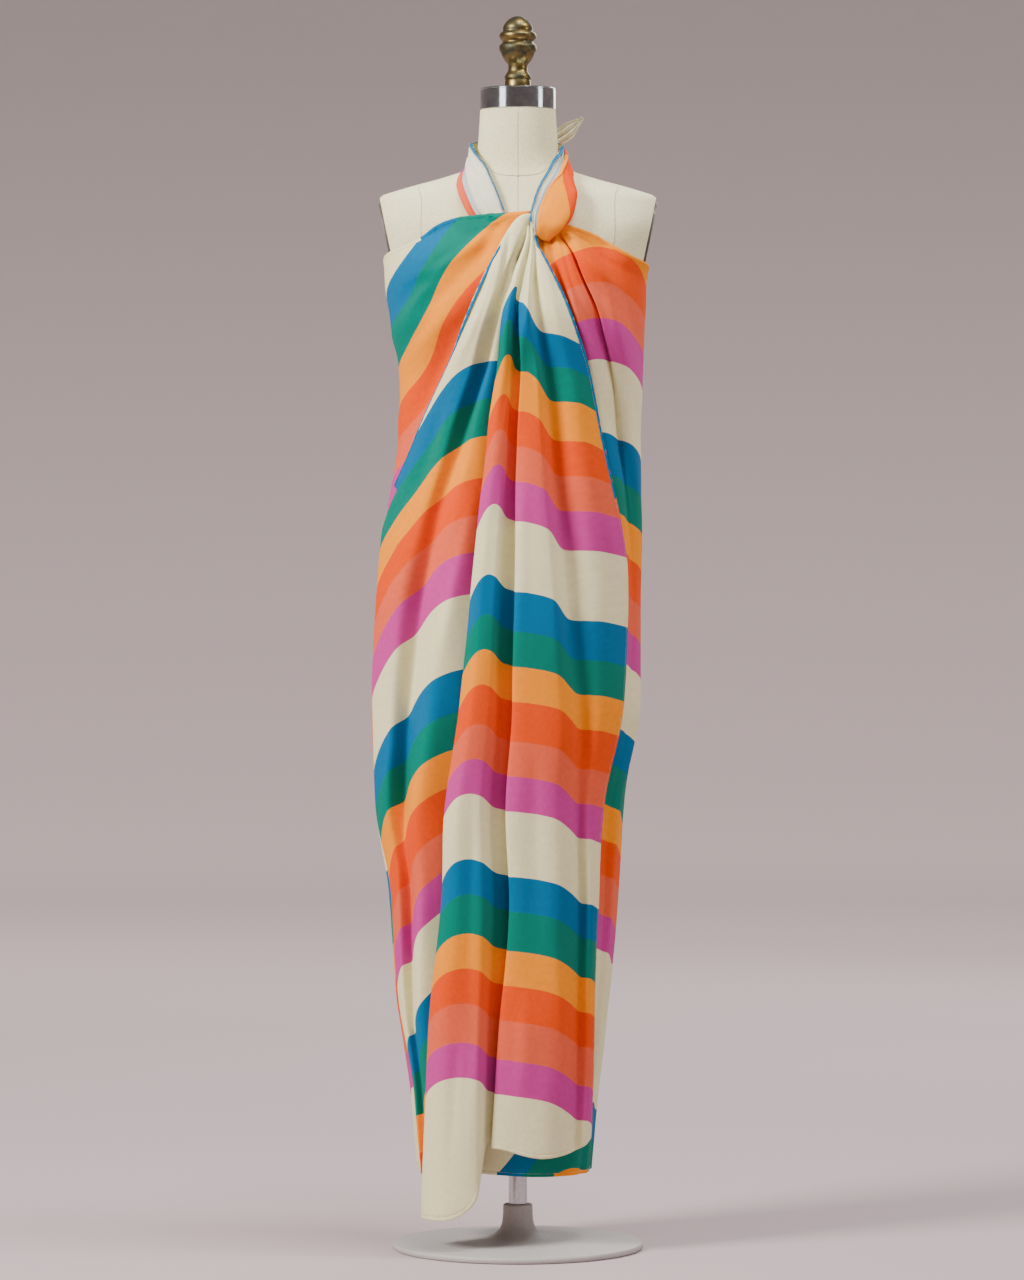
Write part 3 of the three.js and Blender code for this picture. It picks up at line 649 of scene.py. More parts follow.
leftFolds = {
    "topEdge": fold([26, 10, -92, -150, leftSide, leftSide, leftSide, leftSide, leftSide],
                    [-4, 8, 5, 7, 3, 3, 3, 3, 3], 1404, 1402, chest=[1392, 1359, 1333]),
    "bodiceRidge": fold([26, 10, -78, -132, -168, leftSide, leftSide, leftSide, leftSide],
                        [-4, 10, 10, 12, 7, 4, 4, 4, 3], 1403, 1400, chest=[1380, 1345, 1290]),
    "bodiceValley": fold([26, 9, -55, -92, -118, -154, leftSide, leftSide, leftSide],
                         [-3, 9, 5, 3, 1, 4, 5, 4, 3], 1402, 1397, chest=[1360, 1318, 1266]),
    "overlap": fold([26, 10, -23, -39, -56, -129, leftSide, leftSide, leftSide],
                    [-3, 7, 2, 2, 1.5, 3, 3, 2, 3], 1401, 1394, chest=[1340, 1305, 1267]),
    "bandEdge": fold([26, 7, -34, -52, -70, -140, leftSide, leftSide, leftSide],
                     [-2, 12, 13, 13.5, 13, 12, 6, 4, 3], 1400, 1397, chest=[1340, 1305, 1267]),
    "bandCrest": fold([27, 11, -24, -40, -57, -122, leftSide, leftSide, leftSide],
                      [-1, 15, 17, 17, 17, 19, 12, 9, 5], 1399, 1397, chest=[1338, 1304, 1268]),
    "crossedCrest": fold([27, 14, -13, -28, -43, -98, -160, -165, -131],
                         [-1, 14, 15, 16, 17, 20, 22, 18, 11], 1398, 1394),
    "longValley": fold([27, 17, -9, -17, -27, -72, -128, -144, -122],
                       [-1, 10, 6, 3, 2, -0.5, 0, 0, 2], 1397, 1388),
    "longRidge": fold([28, 18, -5, -12, -21, -60, -104, -131, -116],
                      [-1, 6, 4, 4, 6, 14, 21, 19, 10], 1396, 1384),
    "hiddenEdge": fold([28, 19, -2, -6, -12, -33, -52, -92, -100], [-1, 3, 1, 2, 3, 4, 5, 4, 4], 1395, 1380),
}
rightFolds = {
    "hiddenEdge": fold([34, 31, 20, 20, 19, 3, -22, -44, -54],
                       [-8, -3, 0, 0, 0, 0, 0, 0, 0], 1392, 1372, chest=[1332, 1300, 1269], hem=112),
    "innerRidge": fold([36, 36, 36, 42, 47, 54, 56, 29, 16],
                       [-8, -1, 5, 6, 7, 6, 4, 2, 2], 1393, 1374, chest=[1334, 1301, 1269], hem=107),
    "innerValley": fold([38, 41, 48, 56, 64, 88, 96, 60, 48],
                        [-8, -4, 0, 1, 1, 1, 2, 1, 1], 1394, 1376, chest=[1338, 1303, 1269]),
    "longRidge": fold([40, 45, 62, 72, 81, 122, 143, 104, 78],
                      [-8, 1, 9, 11, 12, 12, 8, 5, 4], 1395, 1379, chest=[1342, 1305, 1269]),
    "darkValley": fold([42, 48.5, 75, 91, 106, 135, 154, 118, 86],
                       [-8, -4, -0.5, -0.5, 0, 2, 3, 2, 1], 1396, 1381, chest=[1346, 1307, 1269]),
    "pleatEdge": fold([43, 50.5, 75.5, 92, 108, 141, 160, 124, 89],
                      [-8, -1, 9, 11, 10, 7, 5, 4, 3], 1397, 1383, chest=[1349, 1309, 1269]),
    "outerRidge": fold([44, 53, 88, 112, 128, 152, rightSide, 129, 93],
                       [-8, 2, 12, 13, 13, 10, 6, 7, 5], 1397, 1385, chest=[1356, 1317, 1274]),
    "outerValley": fold([46, 55, 98, 130, 148, rightSide, rightSide, 134, 96],
                        [-8, 0, 4, 4, 3, 4, 4, 3, 2], 1398, 1387, chest=[1363, 1328, 1288]),
    "topEdge": fold([48, 58, 109, 156, rightSide, rightSide, rightSide, rightSide, rightSide],
                    [-8, -1, 5, 7, 2.5, 3, 3, 3, 3], 1398, 1389, chest=[1371, 1343, 1322]),
}

# Creases seen from the front or the back: from (x, z) to (x, z), sideways bow, half width, rise, and how
# strongly the crease starts, from 0 for a fade to 1 for full.
centreCreases = [
    (20, 1356, -3, 1180, 2, 5, 2.2, 1),
    (24, 1350, 22, 1120, -3, 6, -2.0, 1),
    (26, 1352, 60, 1190, -6, 7, 2.4, 1),
    (30, 1345, 88, 1130, -8, 8, -2.2, 1),
    (34, 1330, 104, 1090, -8, 7, 1.8, 0.6),
    (16, 1340, -22, 1110, 4, 7, -2.4, 1),
    (12, 1320, -30, 1060, 5, 6, 1.6, 0.6),
    (60, 1180, 118, 960, -6, 16, 2.5, 0),
    (40, 1120, 92, 860, -6, 20, -3.0, 0),
    (100, 1010, 142, 900, 3, 12, 1.6, 0),
    (8, 1090, -6, 700, 0, 10, 2.2, 0),
    (-30, 1080, -60, 780, 4, 14, -2.5, 0),
    (70, 820, 66, 480, 4, 9, 2.6, 0),
    (96, 830, 84, 430, 4, 12, -2.2, 0),
    (20, 700, 22, 330, 3, 16, -3.0, 0),
    (-62, 640, -72, 250, 2, 12, -3.0, 0),
    (-92, 560, -112, 180, -2, 10, 2.6, 0),
    (-45, 420, -66, 120, 3, 12, 2.4, 0),
    (52, 420, 60, 190, 2, 11, 2.4, 0),
    (10, 360, -2, 180, 2, 12, 2.2, 0),
    (-80, 300, -96, 90, 0, 9, -2.0, 0),
    (-120, 985, -100, 962, 0, 7, 1.2, 0),
    (-40, 966, 10, 972, 0, 5, 1.0, 0),
]
leftCreases = [
    (-24, 1398, -150, 1310, 14, 7, 3.4, 0.8),
    (-20, 1394, -150, 1262, 18, 8, -3.2, 0.8),
    (-22, 1390, -128, 1226, 20, 8, 3.6, 0.9),
    (-24, 1380, -110, 1186, 14, 7, -3.4, 0.9),
    (-26, 1368, -92, 1180, 10, 6, 2.6, 0.8),
    (-40, 1340, -156, 1110, 10, 11, -3.8, 0.4),
    (-60, 1330, -168, 1176, 6, 9, 3.2, 0),
    (-95, 1345, -178, 1262, 4, 8, -2.6, 0),
    (-120, 1326, -180, 1215, 8, 12, 3.0, 0),
    (-76, 1290, -160, 1080, 6, 9, -3.0, 0),
    (-18, 1372, -70, 1190, 8, 5, 2.0, 1),
    (-10, 1380, -52, 1220, 6, 4, -2.2, 1),
    (-70, 1130, -140, 900, 8, 11, 3.6, 0),
    (-100, 1150, -172, 960, 6, 12, -3.8, 0),
    (-62, 1020, -118, 780, 5, 12, 3.4, 0),
    (-90, 960, -150, 700, 5, 14, -3.6, 0),
    (-150, 1010, -180, 820, 4, 12, 3.2, 0),
    (-110, 760, -160, 480, 4, 14, 3.6, 0),
    (-150, 720, -176, 430, 2, 12, -3.4, 0),
    (-128, 560, -140, 240, 2, 10, 3.4, 0),
    (-146, 420, -142, 160, 0, 9, -3.0, 0),
    (-172, 690, -178, 560, 0, 10, 2.2, 0),
    (-140, 1180, -176, 1090, 3, 8, 2.0, 0),
]
rightCreases = [
    (52, 1378, 90, 1230, -6, 6, 2.2, 1),
    (56, 1378, 112, 1210, -8, 6, -2.2, 1),
    (58, 1380, 132, 1230, -14, 6, 2.4, 1),
    (62, 1382, 148, 1262, -16, 6, -2.2, 1),
    (66, 1384, 160, 1290, -16, 6, 2.2, 1),
    (80, 1380, 168, 1316, -10, 6, -1.6, 0.8),
    (120, 1290, 156, 1160, -4, 9, 2.4, 0),
    (96, 1240, 150, 1040, -6, 11, -2.4, 0),
    (140, 1200, 160, 1020, -2, 9, 2.0, 0),
    (150, 1100, 158, 880, 0, 8, -2.0, 0),
    (140, 900, 128, 620, 2, 9, 2.2, 0),
    (120, 700, 112, 420, 2, 9, -2.2, 0),
    (104, 520, 92, 220, 2, 9, 2.0, 0),
    (84, 400, 82, 160, 0, 8, -1.8, 0),
]
backCreases = [
    (-150, 1310, -60, 1230, -10, 12, 2.4, 0),
    (150, 1302, 70, 1240, -10, 12, 2.2, 0),
    (-160, 1290, -90, 1160, -8, 14, -2.2, 0),
    (156, 1286, 96, 1150, -8, 14, -2.4, 0),
    (-110, 1200, -140, 940, 4, 14, 2.4, 0),
    (112, 1210, 140, 930, -4, 14, 2.6, 0),
    (-30, 1240, -44, 900, 3, 16, 2.2, 0),
    (36, 1220, 52, 880, -3, 16, 2.4, 0),
    (-80, 1100, -86, 700, 3, 14, -2.6, 0),
    (88, 1080, 92, 690, -2, 14, -2.4, 0),
    (2, 1120, 6, 740, 3, 15, -2.6, 0),
    (-130, 860, -124, 460, 2, 13, 2.6, 0),
    (124, 840, 104, 430, 2, 12, 2.6, 0),
    (-60, 720, -66, 330, 0, 12, 2.4, 0),
    (48, 760, 40, 380, 0, 12, 2.2, 0),
    (-20, 600, -24, 200, 0, 11, -2.2, 0),
]
creaseLook = {
    "depth": 1.5,  # times the rise in the tables
    "overrun": 0.1,  # how far a crease fades on past its ends, as a share of its length
    "fadeIn": 0.35,
    "fadeOut": 0.55,
    "widths": (0.7, 1.3),  # at its start and its end, as shares of the width
    "steepSide": 1.25,
    "softSide": 0.85,
}
clothLook = {
    "thickness": 0.7,
    "waves": [  # soft unevenness all over: waves per mm level and upright, rise in mm, shift
        (0.02, 0.007, 1.12, 0),
        (0.06, 0.02, 0.49, 40),
    ],
    "calmTop": (0.008, 0.04),  # where the unevenness comes in, as shares of the drop
    "calmTurn": 8,  # degrees over which it fades where two stretches meet
    "crowdFrom": 66,  # degrees from which folds that run off to the side stay apart
    "crowdPitch": 3.5,
    "edgeFrom": 1180,  # the top edge draws in to the form above this height
    "edgeSink": 14,
    "edgeReach": 46,
    "edgeClear": 2.2,
    "edgeFar": 60,
    "sideSpan": (112, 150),  # across, where the edge draws in less
    "sideSpared": 0.85,
    "strandSpan": ((-92, -74), (16, -2)),  # across, where the left strand lies under the edge
    "strandRoom": 9,
    "centreTurn": 8,
    "backFolds": 6,
    "backOut": 3,
    "backRise": 13,
    "backGrown": (0.12, 0.75),  # where the back's folds start and are full, as shares of its drop
    "backShift": 0.035,
    "backShiftRate": 7,
    "backTopDip": 20,
}
topEdgeLeft = [(leftSide, 1333), (-150, 1359), (-92, 1392), (11, 1402)]
topEdgeRight = [(61, 1388), (109, 1371), (156, 1343), (rightSide, 1322)]


def topEdgeAt(bearing):
    if bearing >= 90:
        share = (bearing - 90) / 180
        level = mix(topEdgeRight[-1][1], topEdgeLeft[0][1], share)
        return level - clothLook["backTopDip"] * math.sin(math.pi * share)
    table = topEdgeLeft if bearing <= 0 else topEdgeRight
    knots = [clamp(bearingOf(x, z, 5), -90, 90) for x, z in table]
    return through(knots, [z for _, z in table], clamp(bearing, knots[0], knots[-1]))


def creaseRise(x, z, creases):
    look, total = creaseLook, 0.0
    past = look["overrun"]
    for fromX, fromZ, toX, toZ, bow, width, rise, start in creases:
        alongX, alongZ = toX - fromX, toZ - fromZ
        length = math.hypot(alongX, alongZ)
        t = ((x - fromX) * alongX + (z - fromZ) * alongZ) / (length * length)
        if t < -past or t > 1 + past:
            continue
        side = ((x - fromX) * alongZ - (z - fromZ) * alongX) / length
        side += bow * 4 * t * (1 - t)
        spread = width * mix(*look["widths"], clamp(t, 0, 1))
        if abs(side) > 3 * spread:
            continue
        fade = mix(smooth(-past, look["fadeIn"], t), smooth(-past, 0.0, t), start)
        fade *= smooth(1 + past, look["fadeOut"], t)
        sharp = side / spread * (look["steepSide"] if side * rise > 0 else look["softSide"])
        total += rise * fade * math.exp(-sharp * sharp)
    return total * look["depth"]


def softUnevenness(point):
    total = 0.0
    for level, upright, rise, shift in clothLook["waves"]:
        total += rise * noise.noise(Vector((point.x * level, point.y * level + shift, point.z * upright)))
    return total


# How far outside the form a point is, in mm, measured level towards the front or back.
def clearOfForm(point):
    half, front, back, square = formSection(min(point.z, formHeights[-1] - 1))
    depth = front if point.y < 0 else back
    x = abs(point.x) / half
    if x >= 1:
        return math.inf
    return abs(point.y) - depth * (1 - x ** square) ** (1 / square)


# How far the top edge draws in at a point, so that it comes close to the form or the strand.
def edgeSink(point, edgeZ):
    look = clothLook
    sink = look["edgeSink"] * (1 - smooth(0, look["edgeReach"], edgeZ - point.z))
    sink *= 1 - look["sideSpared"] * smooth(*look["sideSpan"], abs(point.x))
    clear = clearOfForm(point)
    if sink <= 0 or clear >= look["edgeFar"]:
        return sink
    outer, inner = look["strandSpan"]
    overStrand = smooth(*outer, point.x) * smooth(*inner, point.x) if point.y < 0 else 0.0
    return clamp(clear - look["edgeClear"] - overStrand * look["strandRoom"], 0, sink)


def clothPoint(bearing, z, off, creases, calm=1.0, edgeZ=None):
    base, away = onOutline(bearing, z)
    point = base + away * off
    point += away * ((creaseRise(point.x, z, creases) + softUnevenness(point)) * calm)
    if edgeZ is not None and z > clothLook["edgeFrom"]:
        point -= away * edgeSink(point, edgeZ)
    return point


# Keeps the folds that run off to a side from lying on one another.
def crowd(bearings, side):
    apart = [bearing * side for bearing in bearings][::side]
    for k in range(len(apart) - 2, -1, -1):
        if apart[k + 1] > clothLook["crowdFrom"]:
            apart[k] = min(apart[k], apart[k + 1] - clothLook["crowdPitch"])
    return [bearing * side for bearing in apart[::side]]


# Rows of points for a stretch that hangs from the crossing, with the bearing of every point.
def hangingRows(folds, shares, columns, side, creases):
    steps = list(range(len(folds)))
    rows, bearingRows = [], []
    for v in shares:
        heights, bearings, offs = [[through(foldLevels, line[k], v) for line in folds.values()]
                                   for k in range(3)]
        if side and v >= foldLevels[2]:
            bearings = crowd(bearings, side)
        row, rowBearings = [], []
        for c in range(columns + 1):
            u = c / columns * steps[-1]
            bearing = through(steps, bearings, u)
            calm = smooth(*clothLook["calmTop"], v)
            if side:
                calm *= smooth(90 * side, (90 - clothLook["calmTurn"]) * side, bearing)
            z, off = through(steps, heights, u), through(steps, offs, u)
            edgeZ = topEdgeAt(bearing) if side and abs(bearing) > clothLook["centreTurn"] else None
            row.append(clothPoint(bearing, z, off, creases, calm, edgeZ))
            rowBearings.append(bearing)
        rows.append(row)
        bearingRows.append(rowBearings)
    return rows, bearingRows


def rowShares(count, crowding, mustHave):
    shares = [(r / count) ** crowding for r in range(count + 1)]
    nearest = min(range(1, count), key=lambda r: abs(shares[r] - mustHave))
    shares[nearest] = mustHave
    return shares, nearest


def arcLengths(points):
    lengths = [0.0]
    for a, b in zip(points, points[1:]):
        lengths.append(lengths[-1] + (b - a).length * 0.001)
    return lengths


# A piece of cloth with its thickness, from grids of rows and print marks.
def clothPiece(name, grids, faces, join=0.0):
    bm = bmesh.new()
    uvLayer = bm.loops.layers.uv.new("cloth")
    for rows, marks in grids:
        layGrid(bm, rows, marks, uvLayer)
    if join:
        bmesh.ops.remove_doubles(bm, verts=bm.verts, dist=join)
    piece = finishPiece(name, meshFrom(bm, name), faces)
    shell = piece.modifiers.new("clothThickness", "SOLIDIFY")
    shell.thickness = clothLook["thickness"] * 0.001
    shell.offset = 0
    shell.material_offset = 1
    return piece


# The wrap is one sheet, from the front, round the back, to the front again.
wrapSheet = {
    "rows": 200,
    "rowCrowding": 1.6,
    "frontColumns": 81,
    "backColumns": 96,
    "flatWidth": 1.16,
    "flatDrop": 1.22,
    "hemZ": 106,
    "printDown": 0.09,
    "bandColumn": 36,  # where the band over the left bust has its edge
    "bandFold": (9, 1),  # columns before the edge over which the fold under it takes up print
    "bandShift": (0.10, -0.30),  # print that it takes up
    "join": 0.00025,
}
chestLevel = foldLevels[4]  # the back's top edge starts here


# Where the print falls on the wrap. fullTurn is 360 on the left front, where the cloth has been all the way
# round, and taken is the share of the band's shift.
def wrapMark(bearing, z, fullTurn, taken):
    top = topEdgeAt(min(bearing, 0) if fullTurn else max(bearing, 0.01))
    drop = (top - z) / (top - wrapSheet["hemZ"]) * wrapSheet["flatDrop"]
    shiftAcross, shiftDown = wrapSheet["bandShift"]
    return ((bearing + fullTurn) / 360 * wrapSheet["flatWidth"] + taken * shiftAcross,
            drop + wrapSheet["printDown"] + taken * shiftDown)


def wrapMarks(rows, bearings, fullTurn):
    edge, (begins, ends) = wrapSheet["bandColumn"], wrapSheet["bandFold"]
    taken = [smooth(edge - begins, edge - ends, c) if fullTurn else 0.0 for c in range(len(rows[0]))]
    return [[wrapMark(b, p.z, fullTurn, t) for b, p, t in zip(rowBearings, row, taken)]
            for rowBearings, row in zip(bearings, rows)]


# One row round the back, from the end of the right front to the start of the left one.
def backRow(share, rightZ, leftZ):
    look = clothLook
    lifted = 1 - smooth(chestLevel, 1, share)
    grown = smooth(*look["backGrown"], (share - chestLevel) / (1 - chestLevel))
    row, bearings = [], []
    for c in range(wrapSheet["backColumns"] + 1):
        u = c / wrapSheet["backColumns"]
        bearing = mix(90, 270, u)
        phase = look["backFolds"] * (u + look["backShift"] * math.sin(look["backShiftRate"] * u))
        wave = (0.5 - 0.5 * math.cos(2 * math.pi * phase)) * math.sqrt(math.sin(math.pi * u) + 1e-9)
        calm = smooth(90, 90 + look["calmTurn"], bearing) * smooth(270, 270 - look["calmTurn"], bearing)
        z = mix(rightZ, leftZ, u) - look["backTopDip"] * math.sin(math.pi * u) * lifted
        off = look["backOut"] + look["backRise"] * grown * wave
        row.append(clothPoint(bearing, z, off, backCreases, calm, topEdgeAt(bearing)))
        bearings.append(bearing)
    return row, bearings


def buildWrap():
    shares, seamRow = rowShares(wrapSheet["rows"], wrapSheet["rowCrowding"], chestLevel)
    leftRows, leftBearings = hangingRows(leftFolds, shares, wrapSheet["frontColumns"], -1, leftCreases)
    rightRows, rightBearings = hangingRows(rightFolds, shares, wrapSheet["frontColumns"], 1, rightCreases)
    backRows, backBearings = zip(*[backRow(shares[r], rightRows[r][-1].z, leftRows[r][0].z)
                                   for r in range(seamRow, len(shares))])
    grids = [
        (leftRows, wrapMarks(leftRows, leftBearings, 360)),
        (backRows, wrapMarks(backRows, backBearings, 0)),
        (rightRows, wrapMarks(rightRows, rightBearings, 0)),
    ]
    piece = clothPiece("wrappedCloth", grids, [printFace, printReverse], wrapSheet["join"])
    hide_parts("front_left", "back", "front_right")
    return piece, grids, seamRow


wrap, wrapGrids, seamRow = buildWrap()
print("wrapped cloth built")

# The front panel hangs from the crossing, over the wrap.
frontPanel = {
    "rows": 230,
    "rowCrowding": 1.5,
    "columns": 150,
    "flatWidth": 0.50,
    "flatDrop": 1.32,
    "flatArea": 0.40,
    "printAcross": 0.04,
    "printDown": -0.17,
}


def buildFrontPanel():
    shares = [(r / frontPanel["rows"]) ** frontPanel["rowCrowding"] for r in range(frontPanel["rows"] + 1)]
    rows, _ = hangingRows(centreFolds, shares, frontPanel["columns"], 0, centreCreases)
    across = arcLengths(rows[-1])
    lengths = [arcLengths([row[c] for row in rows]) for c in range(len(rows[0]))]
    marks = [[(across[c] + frontPanel["printAcross"], lengths[c][r] + frontPanel["printDown"])
              for c in range(len(rows[0]))] for r in range(len(rows))]
    piece = clothPiece("frontPanel", [(rows, marks)], [printFace, printReverse])
    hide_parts("front_centre")
    return piece, (rows, marks)


panel, panelGrid = buildFrontPanel()
print("front panel built")

# Stations along each neck strand: x, y, z, the way its face looks, half width and depth.
strandRoutes = {
    "right": [
        (33, 60, 1497, 0.45, 0.9, 0, 12, 4),
        (52, 42, 1493, 0.8, 0.6, 0, 14, 4),
        (63, 6, 1486, 1, 0, 0.1, 15, 5),
        (64, -28, 1476, 0.85, -0.4, 0.3, 18, 6),
        (59, -62, 1456, 0.35, -0.8, 0.5, 24, 8),
        (52, -86, 1430, 0.05, -0.9, 0.4, 28, 10),
        (46, -99, 1402, 0, -1, 0.2, 26, 12),
        (39, -112, 1380, 0, -1, 0, 19, 9),
        (34, -105, 1364, 0, -1, -0.2, 10, 3),
    ],
    "left": [
        (0, 63, 1498, 0, 1, 0, 11, 3),
        (-30, 58, 1495, -0.45, 0.9, 0, 13, 4),
        (-52, 38, 1491, -0.8, 0.6, 0, 14, 4),
        (-63, 4, 1485, -1, 0, 0.1, 15, 5),
        (-65, -30, 1472, -0.85, -0.4, 0.35, 17, 6),
        (-58, -60, 1449, -0.3, -0.8, 0.5, 22, 6),
        (-46, -80, 1418, 0, -0.9, 0.35, 24, 5),
        (-32, -90, 1390, 0, -1, 0.3, 20, 3),
    ],
    "tieUp": [
        (35, 73, 1503, 0.3, 1, 0, 7, 3),
        (52, 70, 1512, 0.3, 1, -0.2, 11, 4),
        (68, 65, 1522, 0.4, 1, -0.2, 12, 4),
        (78, 62, 1531, 0.4, 1, -0.2, 7, 3),
        (88, 60, 1540, 0.4, 1, -0.2, 2, 1),
    ],
    "tieDown": [
        (14, 76, 1484, 0, 1, 0.2, 8, 3),
        (8, 85, 1464, 0, 1, 0.3, 14, 4),
        (1, 93, 1438, 0, 1, 0.3, 17, 4),
        (-7, 99, 1408, 0, 1, 0.1, 5, 2),
    ],
}
# Each ply: its route, its section as (across, out) shares, how far it stands off the route's line, its left
# and right limits at each station as shares of the half width, its flat size in metres, and where the print
# falls: its start down the print, and how far it moves over the ply's width and per metre along it.
plainPly = {"lift": 0, "runs": 0, "turn": 0.01, "fall": 0, "node": None, "reverse": True, "rows": 120,
            "columns": 20, "crumple": 0.5}
strandPlies = {
    "strandRight": {
        "route": "right",
        "section": [(-0.7, -0.5), (-0.3, -0.75), (0.5, -0.8), (1, -0.2), (0.92, 0.5), (0.4, 0.95),
                    (-0.35, 1.0), (-0.85, 0.8), (-1, 0.4)],
        "lefts": [-0.5, -0.5, -0.42, -0.25, -0.14, -0.43, -0.66, -0.75, -0.8],
        "rights": [1, 1, 1, 0.95, 0.72, 1.0, 1.06, 0.95, 0.8],
        "flat": (0.072, 0.27), "print": 0.297, "turn": -0.085, "fall": -0.33,
        "node": "halter_right", "columns": 72, "rows": 150, "crumple": 0.7,
    },
    "strandRightInner": {
        "route": "right",
        "section": [(-1, 0.1), (-0.7, 0.5), (-0.2, 0.1), (0.4, 0.3), (1, 0)],
        "lift": -0.6,
        "lefts": [-0.6, -0.6, -0.55, -0.46, -0.42, -0.62, -0.86, -1.0, -1.0],
        "rights": [0, 0, 0, 0, 0, -0.2, -0.45, -0.5, -0.5],
        "flat": (0.013, 0.26), "print": 0.045, "runs": 0.1,
    },
    "strandRightEdge": {
        "route": "right",
        "section": [(-1, -0.2), (-0.7, 0.5), (0.1, 0.4), (1, -0.2)],
        "lift": -2.4,
        "lefts": [-0.85, -0.85, -0.82, -0.78, -0.78, -0.93, -1.1, -1.25, -1.2],
        "rights": [-0.35, -0.35, -0.35, -0.28, -0.26, -0.45, -0.7, -0.8, -0.8],
        "flat": (0.011, 0.26), "print": 0.36, "turn": 0.02, "runs": 0.1, "columns": 14,
    },
    "strandLeft": {
        "route": "left",
        "section": [(-1, -0.4), (-0.86, 0.5), (-0.45, 0.7), (-0.2, 0.45), (0.2, 0.8), (0.7, 0.7), (0.94, 0.4),
                    (1, -0.1)],
        "lift": 0.8,
        "lefts": [-0.5, -0.5, -0.46, -0.42, -0.5, -0.52, -0.5, -0.5],
        "rights": [1, 1, 1, 1, 1, 0.95, 0.9, 0.9],
        "flat": (0.032, 0.25), "print": 0.41, "turn": -0.06, "fall": -0.16,
        "node": "halter_left", "columns": 44, "rows": 130, "crumple": 0.8,
    },
    "strandLeftFold": {
        "route": "left",
        "section": [(-1, -0.3), (-0.7, 0.7), (0.0, 0.2), (0.6, 0.5), (1, -0.2)],
        "lift": -0.4,
        "lefts": [-0.8, -0.8, -0.78, -0.76, -0.82, -0.84, -0.8, -0.8],
        "rights": [-0.3] * 8,
        "flat": (0.011, 0.245), "print": 0.05, "runs": 0.1,
    },
    "strandLeftOuter": {
        "route": "left",
        "section": [(-1, -0.8), (-0.95, 1.2), (-0.4, 2.6), (0.3, 1.4), (1, -0.2)],
        "lift": -1.2,
        "lefts": [-1.1, -1.1, -1.1, -1.15, -1.25, -1.22, -1.15, -1.1],
        "rights": [-0.65] * 8,
        "flat": (0.015, 0.25), "print": 0.40, "turn": -0.06, "fall": -0.6, "reverse": False, "crumple": 0.6,
    },
    "tieEndUp": {
        "route": "tieUp",
        "section": [(-1, 0), (-0.62, 0.8), (-0.3, -0.4), (0.05, 0.7), (0.4, -0.3), (0.7, 0.6), (1, 0.1)],
        "lefts": [-1] * 5, "rights": [1] * 5,
        "flat": (0.024, 0.072), "print": 0.36, "turn": 0.03, "runs": 0.1,
        "reverse": False, "node": "tie_end_up", "columns": 36, "rows": 60, "crumple": 2.6,
    },
    "tieEndDown": {
        "route": "tieDown",
        "section": [(-1, 0), (-0.5, 0.8), (0, -0.4), (0.5, 0.6), (1, 0.1)],
        "lefts": [-1] * 4, "rights": [1] * 4,
        "flat": (0.032, 0.085), "print": 0.17, "turn": 0.06, "runs": 0.1,
        "reverse": False, "node": "tie_end_down", "columns": 36, "rows": 60, "crumple": 2.0,
    },
}
crumpleWaves = (0.11, 0.07)  # waves per mm level and upright


def plyRows(ply):
    route, section = strandRoutes[ply["route"]], ply["section"]
    columns, rows = ply["columns"], ply["rows"]
    steps, marks = list(range(len(route))), list(range(len(section)))
    level, upright = crumpleWaves

    def at(k, t):
        return through(steps, [station[k] for station in route], t)

    def middle(t):
        return Vector((at(0, t), at(1, t), at(2, t)))

    made = []
    for r in range(rows + 1):
        t = r / rows * steps[-1]
        along = (middle(min(t + 0.1, steps[-1])) - middle(max(t - 0.1, 0))).normalized()
        face = Vector((at(3, t), at(4, t), at(5, t)))
        out = (face - along * face.dot(along)).normalized()
        side = out.cross(along)
        left, right = through(steps, ply["lefts"], t), through(steps, ply["rights"], t)
        depth = at(7, t) * (right - left) / 2
        row = []
        for c in range(columns + 1):
            u = c / columns * marks[-1]
            across = mix(left, right, (through(marks, [pair[0] for pair in section], u) + 1) / 2) * at(6, t)
            outwards = through(marks, [pair[1] for pair in section], u) * depth + ply["lift"]
            point = middle(t) + side * across + out * outwards
            uneven = noise.noise(Vector((point.x * level, point.y * level, point.z * upright)))
            row.append(point + out * (uneven * ply["crumple"]))
        made.append(row)
    return made


def buildPly(name):
    ply = {**plainPly, **strandPlies[name]}
    rows, columns = plyRows(ply), ply["columns"]
    down = arcLengths([row[columns // 2] for row in rows])
    marks = [[(ply["runs"] * length, ply["print"] + ply["turn"] * c / columns + ply["fall"] * length)
              for c in range(columns + 1)] for length in down]
    faces = [printReverse, printFace] if ply["reverse"] else [printFace, printReverse]
    piece = clothPiece(name, [(rows, marks)], faces)
    if ply["node"]:
        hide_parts(ply["node"])
    return piece, (rows, marks)


plies = {name: buildPly(name) for name in strandPlies}

knotShape = {
    "middle": (18, 70),  # across and to the back
    "rings": [  # height, half width and half depth
        (1487, 5, 4), (1489, 10, 8), (1495, 13.5, 11), (1502, 14.5, 12), (1510, 12.5, 11), (1516, 8, 8),
        (1518, 3.5, 3.5),
    ],
    "swells": [(0.09, 3, 0.16), (0.03, 7, -0.3)],  # rise, waves round the knot, twist per mm
    "rows": 40,
    "columns": 72,
    "print": (0.3, 0.3),
    "printWidth": 0.1,
    "printPerRow": 0.0015,
}


